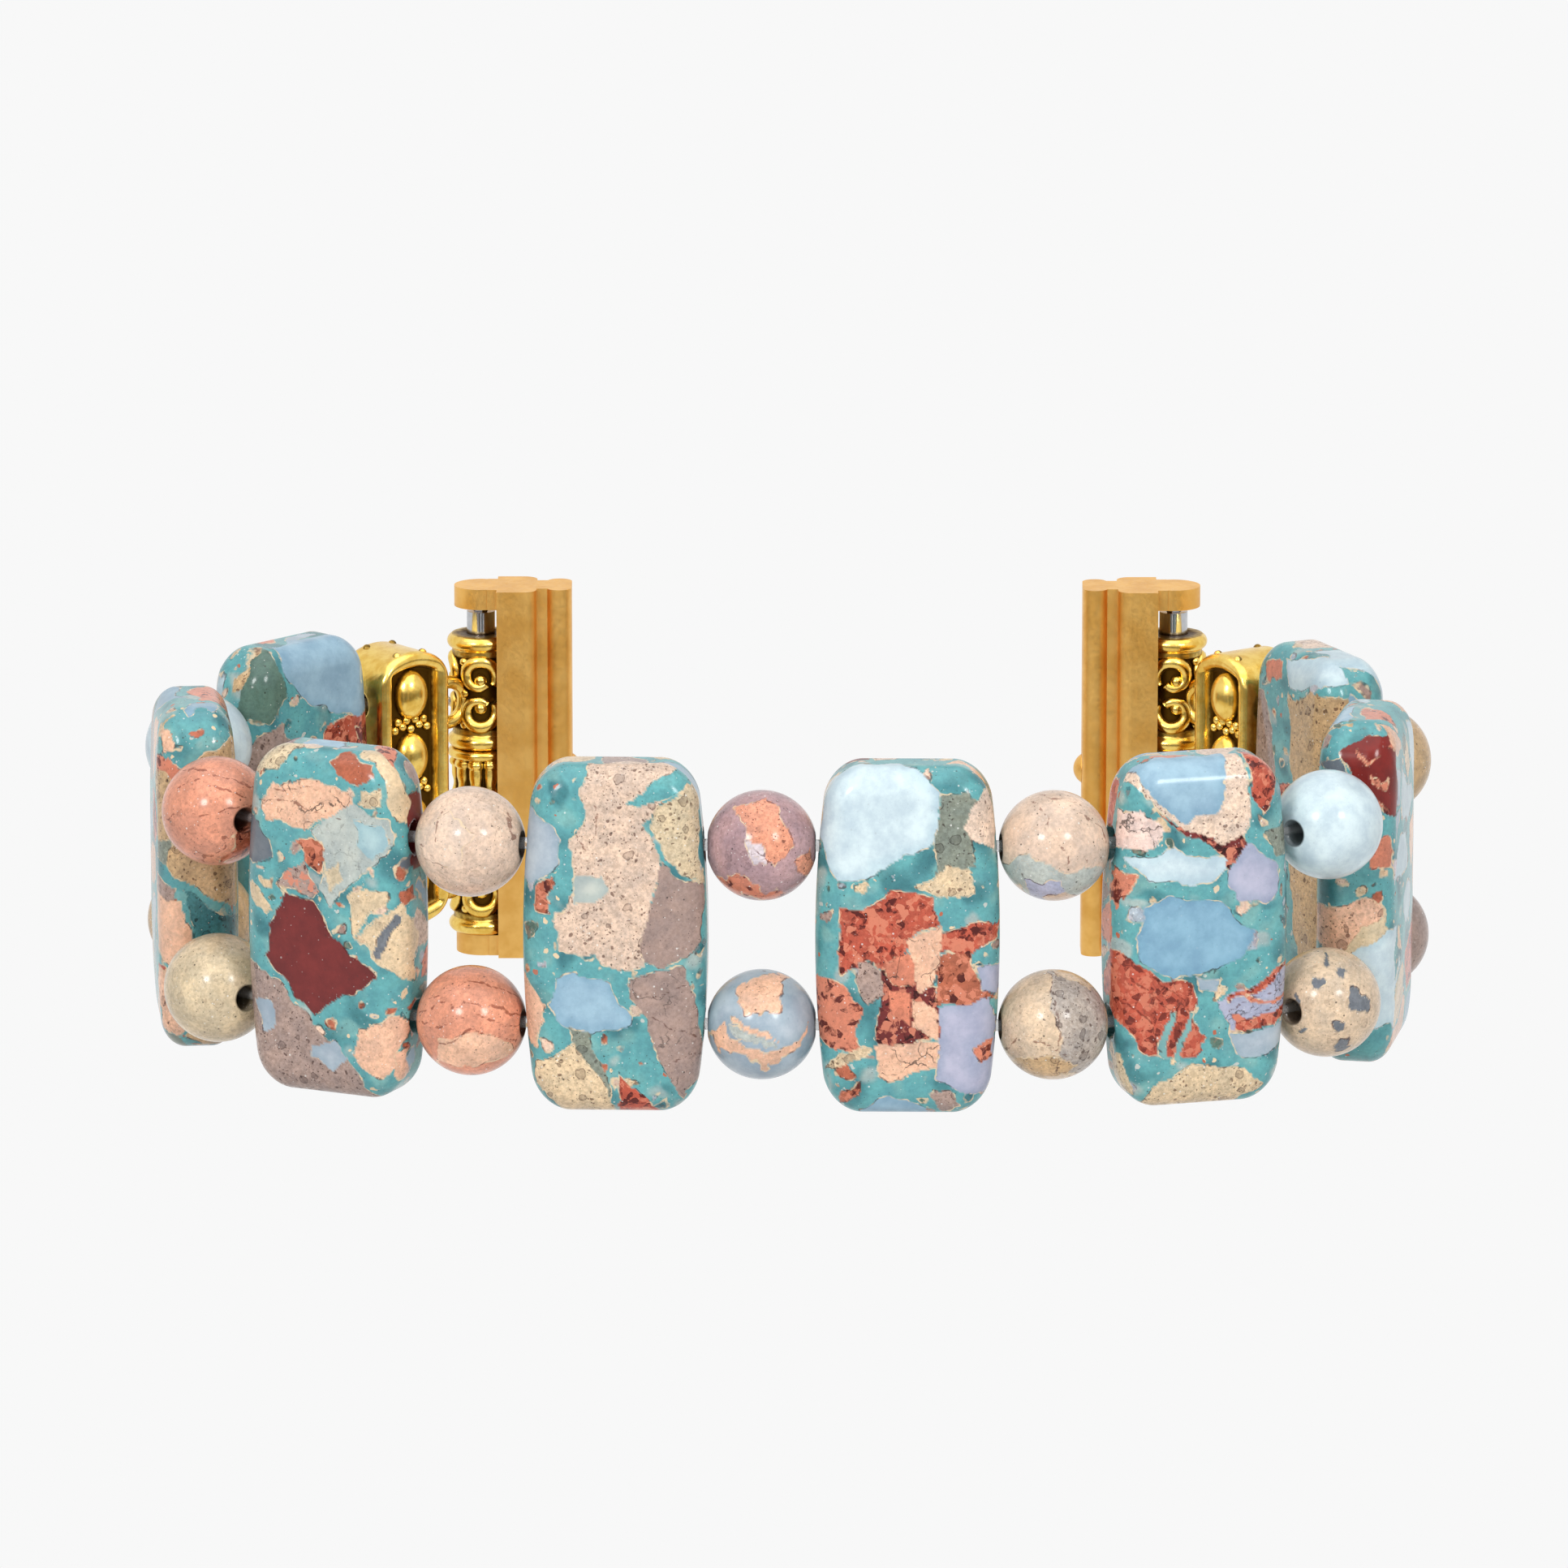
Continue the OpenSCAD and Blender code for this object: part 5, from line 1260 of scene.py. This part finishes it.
def spoolPiece():
    # Ribbed body between scalloped rims: the ribs are rounded waves round the turn.
    def outer(angle, z):
        ribs = spool["ribRise"] * np.sqrt(np.abs(np.cos(angle * spool["ribs"] / 2)))
        body = (spool["core"] + ribs) * (1 - spool["waist"] * smooth(spool["waistHalf"], 0.0, np.abs(z)))
        at = spool["height"] / 2 - spool["rim"] - spool["scallop"] / 2
        scallop = roundRim(np.abs(z), at, spool["scallop"], spool["scallopCore"] + ribs, 0)
        radius = np.maximum(np.maximum(body, endRims(z, spool, 0)), scallop)
        # darker between the ribs and towards the core: patina and painted shade
        return radius, smooth(*spool["shade"], radius)

    return lathed(spool, outer)


def addCasting(node, mesh, centre, turn, body):
    # a casting in place of a CAD node, with the attribute that darkens its hollows with patina and painted
    # shade
    p, f, hollow = mesh
    addPiece("cast_" + node, placed(p, centre, turn), f, antiqueGold, body, node,
             values={"hollow": hollow})


spacerMesh, spoolMesh = spacerPiece(), spoolPiece()
bailMeshes = {level: bailPiece(side) for level, side in levels.items()}
for end, spacerHeading, bailHeading in zip(ends, spacerHeadings, bailHeadings):
    bar, middleSpool = end + "_spacer_bar", end + "_middle_spool"
    addCasting(bar, spacerMesh, centreOf(bar), spacerHeading, bar)
    pin = centreOf(end + "_spring_bar_tube")
    for level in levels:
        node = "%s_%s_bail" % (end, level)
        centre = (pin[0], pin[1], centreOf(node)[2])
        addCasting(node, bailMeshes[level], centre, bailHeading + 180, end + "_bails")
    addCasting(middleSpool, spoolMesh, centreOf(middleSpool), bailHeading + 180, middleSpool)
print("cast metal made")


cord = {
    "radius": 0.35, "sides": 12, "points": {"short": 24, "whole": 40, "end": 44, "loop": 90},
    "limb": 0.85, "limbStand": 0.15, "limbDrop": 0.55,
    # inside a stone: how far a length runs straight, where it is cut and how deep it is in a bead's mouth
    "straight": 2.5, "cut": 3.7, "cutMiddle": 2, "inBead": 1.6,
    # how far before a mouth a length starts to bend, where it follows the bead, and room at cuts and ends
    "bendFrom": 0.9, "bendTo": 2.4, "cutRoom": 0.3, "endRoom": 0.8,
    # where the cord crosses a stone's side and the spacer bar's side, in shares of the width
    "mouth": 0.45, "endMouth": 0.46, "entry": 0.45,
    # the loop's knot in the spacer bar, the way out to the bail and back: onward, sideways and up
    "knot": (-1.2, 0, 0), "out": [(0.3, -0.4, 0), (1.6, -0.5, -0.1)],
    "back": [(1.6, 0.5, -0.1), (1.1, 0.45, 0), (0.8, 0.45, 0), (0.1, 0.4, 0)],
}


def ahead(degrees):
    # one step along a heading in plan
    return np.array([math.cos(math.radians(degrees)), math.sin(math.radians(degrees)), 0])


def cordPiece(name, level, knots, size="short"):
    # one length of a cord along a curve through the knots
    route = curveThrough(knots, cord["points"][size])
    points, faces = tubeSurface(route, cord["radius"], cord["sides"])
    replaced = "elastic_cord_" + level
    piece = addPiece(name, points / 1000, faces, clearElastic, None, replaced)
    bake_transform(piece)


for level, side in levels.items():
    rise = np.array([0, 0, side * holeHeight])
    for pair in range(1, 8):
        # from each slab's middle to the bead's middle; the bead turns with the body that its name gives
        own = "round_%s_%d" % (level, pair)
        bead = centreOf(own)
        inner, outer = (pair, pair + 1) if pair >= 4 else (pair + 1, pair)
        for number, near in ((inner, "round_lower_%d" % pair), (outer, "round_upper_%d" % pair)):
            slab = "slab_%d" % number
            middle = centreOf(slab) + rise
            straight = ahead(headings[number])
            straight = straight * np.sign(straight @ (bead - middle))
            way = (bead - middle) / np.linalg.norm(bead - middle)
            mouth = middle + straight * slabs["width"] * cord["mouth"]
            inBead = bead - way * cord["inBead"]
            label = "cord_%s_%d_%d" % (level, number, pair)
            if near == own:
                knots = [middle, middle + straight * cord["straight"], mouth, inBead, bead]
                cordPiece(label, level, knots,
                          "whole")
                continue
            # the slab slides on one body and the bead turns on the other, so the length is cut in the slab
            cut = middle + straight * cord["cut"]
            knots = [middle, middle + straight * cord["cutMiddle"], cut]
            cordPiece(label, level, knots)
            knots = [cut, mouth, inBead, bead]
            cordPiece(label + "_turn", level, knots)
    for k, end in enumerate(ends):
        # through the spacer bar's hole, round the limb of the bail's loop and back to a knot in the bar
        number = (1, 8)[k]
        bar = end + "_spacer_bar"
        start, middle = centreOf("slab_%d" % number) + rise, centreOf(bar) + rise
        out, onward = ahead(headings[number]) * endTurn[k], ahead(spacerHeadings[k])
        mouth = start + out * slabs["width"] * cord["endMouth"]
        entry = middle - onward * spacer["width"] * cord["entry"]
        knots = [start, start + out * cord["straight"], mouth, entry, middle + onward * cord["knot"][0]]
        label = "cord_%s_%s" % (level, end)
        cordPiece(label + "_end", level, knots,
                  "end")
        sideways = np.array([-onward[1], onward[0], 0])
        lean = math.radians(bends["bails"][k] / 2 * endTurn[k])
        limb = spacer["width"] / 2 + cord["limbStand"]
        turns = np.radians(np.arange(-90, 91, 30)) + lean
        radius, drop = cord["limb"], -cord["limbDrop"]
        arc = [(limb + radius * math.cos(t), radius * math.sin(t), drop) for t in turns]
        knots = [cord["knot"]] + cord["out"] + arc + cord["back"]
        knots = [middle + onward * x + sideways * y + np.array([0, 0, z]) for x, y, z in knots]
        p, f = tubeSurface(curveThrough(knots, cord["points"]["loop"]), cord["radius"], cord["sides"])
        addPiece(label + "_loop", p / 1000, f, clearElastic, bar, "elastic_cord_" + level)
print("cords made")


# Coil springs of the spring bars and latches, made anew
springs = {"barWire": 0.16, "barTurns": 14, "latchWire": 0.18, "latchTurns": 4, "sides": 8, "perTurn": 16}
travel = {joint["name"]: joint for joint in frame["record"]["behaviour"]["joints"]}


def springPiece(name, node, fixed, along, length, radius, wire, turns, hand):
    # a coil from its fixed end along the direction along
    across = np.cross(along, (0, 1, 0))
    turn = np.linspace(0, 2 * np.pi * turns, int(springs["perTurn"] * turns) + 1)
    path = fixed + np.outer(turn / turn[-1] * length, along) + radius * np.outer(np.cos(turn), across)
    path = path + radius * hand * np.outer(np.sin(turn), (0, 1, 0))
    points, faces = tubeSurface(path, wire / 2, springs["sides"], False, along)
    body = node.split("_")[0] + "_lug_adapter"
    piece = addPiece(name, points / 1000, faces, springSteel, body, node)
    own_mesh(piece)


for end in ends:
    node, wire = end + "_spring_bar_spring", springs["barWire"]
    low, high = [np.array(corner) * 1000 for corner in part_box(node)]
    radius, length = (high[0] - low[0] - wire) / 2, (high[2] - low[2] - wire) / 2
    for level, side in levels.items():
        along = np.array([0, 0, float(side)])
        springPiece("spring_%s_%s" % (end, level), node, (low + high) / 2, along, length, radius, wire,
                    springs["barTurns"] / 2, side)
    node, wire = end + "_latch_spring", springs["latchWire"]
    low, high = [np.array(corner) * 1000 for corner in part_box(node)]
    press = np.round(np.array(travel[end + "_latch_press"]["axis"]))
    radius, length = (high[2] - low[2] - wire) / 2, high[0] - low[0] - wire
    fixed = (low + high) / 2 + press * length / 2
    springPiece("spring_%s_latch" % end, node, fixed, -press, length, radius, wire, springs["latchTurns"], 1)
print("springs made")


# The finish of every node from the CAD, by the end of its name
cadMaterials = {
    "spacer_bar": antiqueGold, "lower_bail": antiqueGold, "upper_bail": antiqueGold,
    "middle_spool": antiqueGold, "lug_adapter": satinGold, "latch_button": satinGold,
    "spring_bar_tube": brightSteel, "lower_bar_tip": brightSteel, "upper_bar_tip": brightSteel,
    "spring_bar_spring": springSteel, "latch_spring": springSteel,
    "elastic_cord_lower": clearElastic, "elastic_cord_upper": clearElastic,
}
for name, item in frame["nodes"].items():
    for ending, finish in cadMaterials.items():
        if name.endswith(ending):
            for slotItem in item.material_slots:
                slotItem.material = finish
print("CAD nodes finished")


stage = {
    "target": (0.000181, -0.020080, 0.02003), "away": 0.62, "pitch": 13.3, "lens": 250.7, "sensor": 36,
    "tone": 0.939, "floorTone": 0.85, "floorHalf": 4, "worldLight": 0.2, "aim": (0, 0, 0.01),
    # place, size and power of each soft light
    "lights": {
        "softAbove": ((0.0, -0.12, 0.6), 0.95, 3.0),
        "softLeft": ((-0.3, -0.54, 0.35), 0.16, 1.75),
        "softRight": ((0.32, -0.52, 0.36), 0.16, 1.5),
    },
}


def inScene(name, data):
    thing = bpy.data.objects.new(name, data)
    bpy.context.scene.collection.objects.link(thing)
    return thing


cameraData = bpy.data.cameras.new("camera")
cameraData.lens = stage["lens"]
cameraData.sensor_width = stage["sensor"]
cameraData.clip_start = 0.01
camera = inScene("camera", cameraData)
pitch = math.radians(stage["pitch"])
camera.location = Vector(stage["target"]) + Vector((0, -math.cos(pitch), math.sin(pitch))) * stage["away"]
camera.rotation_euler = (math.radians(90 - stage["pitch"]), 0, 0)
bpy.context.scene.camera = camera

for name, (place, size, power) in stage["lights"].items():
    data = bpy.data.lights.new(name, "AREA")
    data.shape = "DISK"
    data.size = size
    data.energy = power
    light = inScene(name, data)
    light.location = place
    light.rotation_euler = (Vector(stage["aim"]) - Vector(place)).to_track_quat("-Z", "Y").to_euler()


def paleBehind(w, lit, out, kind):
    # What the lens, reflections and clear pieces see is one pale tone; every other ray meets the lit surface.
    rays = w.node("LightPath", {}).outputs
    seen = w.math("MAXIMUM", rays["Is Glossy Ray"], rays["Is Transmission Ray"])
    seen = w.math("MAXIMUM", rays["Is Camera Ray"], seen)
    pale = w.node(kind, {"Color": rgba([stage["tone"]] * 3)}).outputs[0]
    w.feed(out, {0: w.node("MixShader", {0: seen, 1: lit, 2: pale}).outputs[0]})


reach = stage["floorHalf"]
corners = [(-reach, -reach, 0), (reach, -reach, 0), (reach, reach, 0), (-reach, reach, 0)]
floorData = bpy.data.meshes.new("floor")
floorData.from_pydata(corners, [], [(0, 1, 2, 3)])
floorMaterial, w, shader = surface("floorWhite")
w.feed(shader, {"Base Color": rgba([stage["floorTone"]] * 3), "Roughness": 0.9, "Specular IOR Level": 0.1})
paleBehind(w, shader.outputs[0], w.tree.nodes["Material Output"], "Emission")
floorData.materials.append(floorMaterial)
inScene("floor", floorData)

world = bpy.data.worlds.new("paleRoom")
world.use_nodes = True
w = Wires(world.node_tree)
background = w.tree.nodes["Background"]
w.feed(background, {"Color": (1, 1, 1, 1), "Strength": stage["worldLight"]})
paleBehind(w, background.outputs[0], w.tree.nodes["World Output"], "Background")
bpy.context.scene.world = world
bpy.context.scene.view_settings.view_transform = "Standard"
print("camera, lights and floor made")
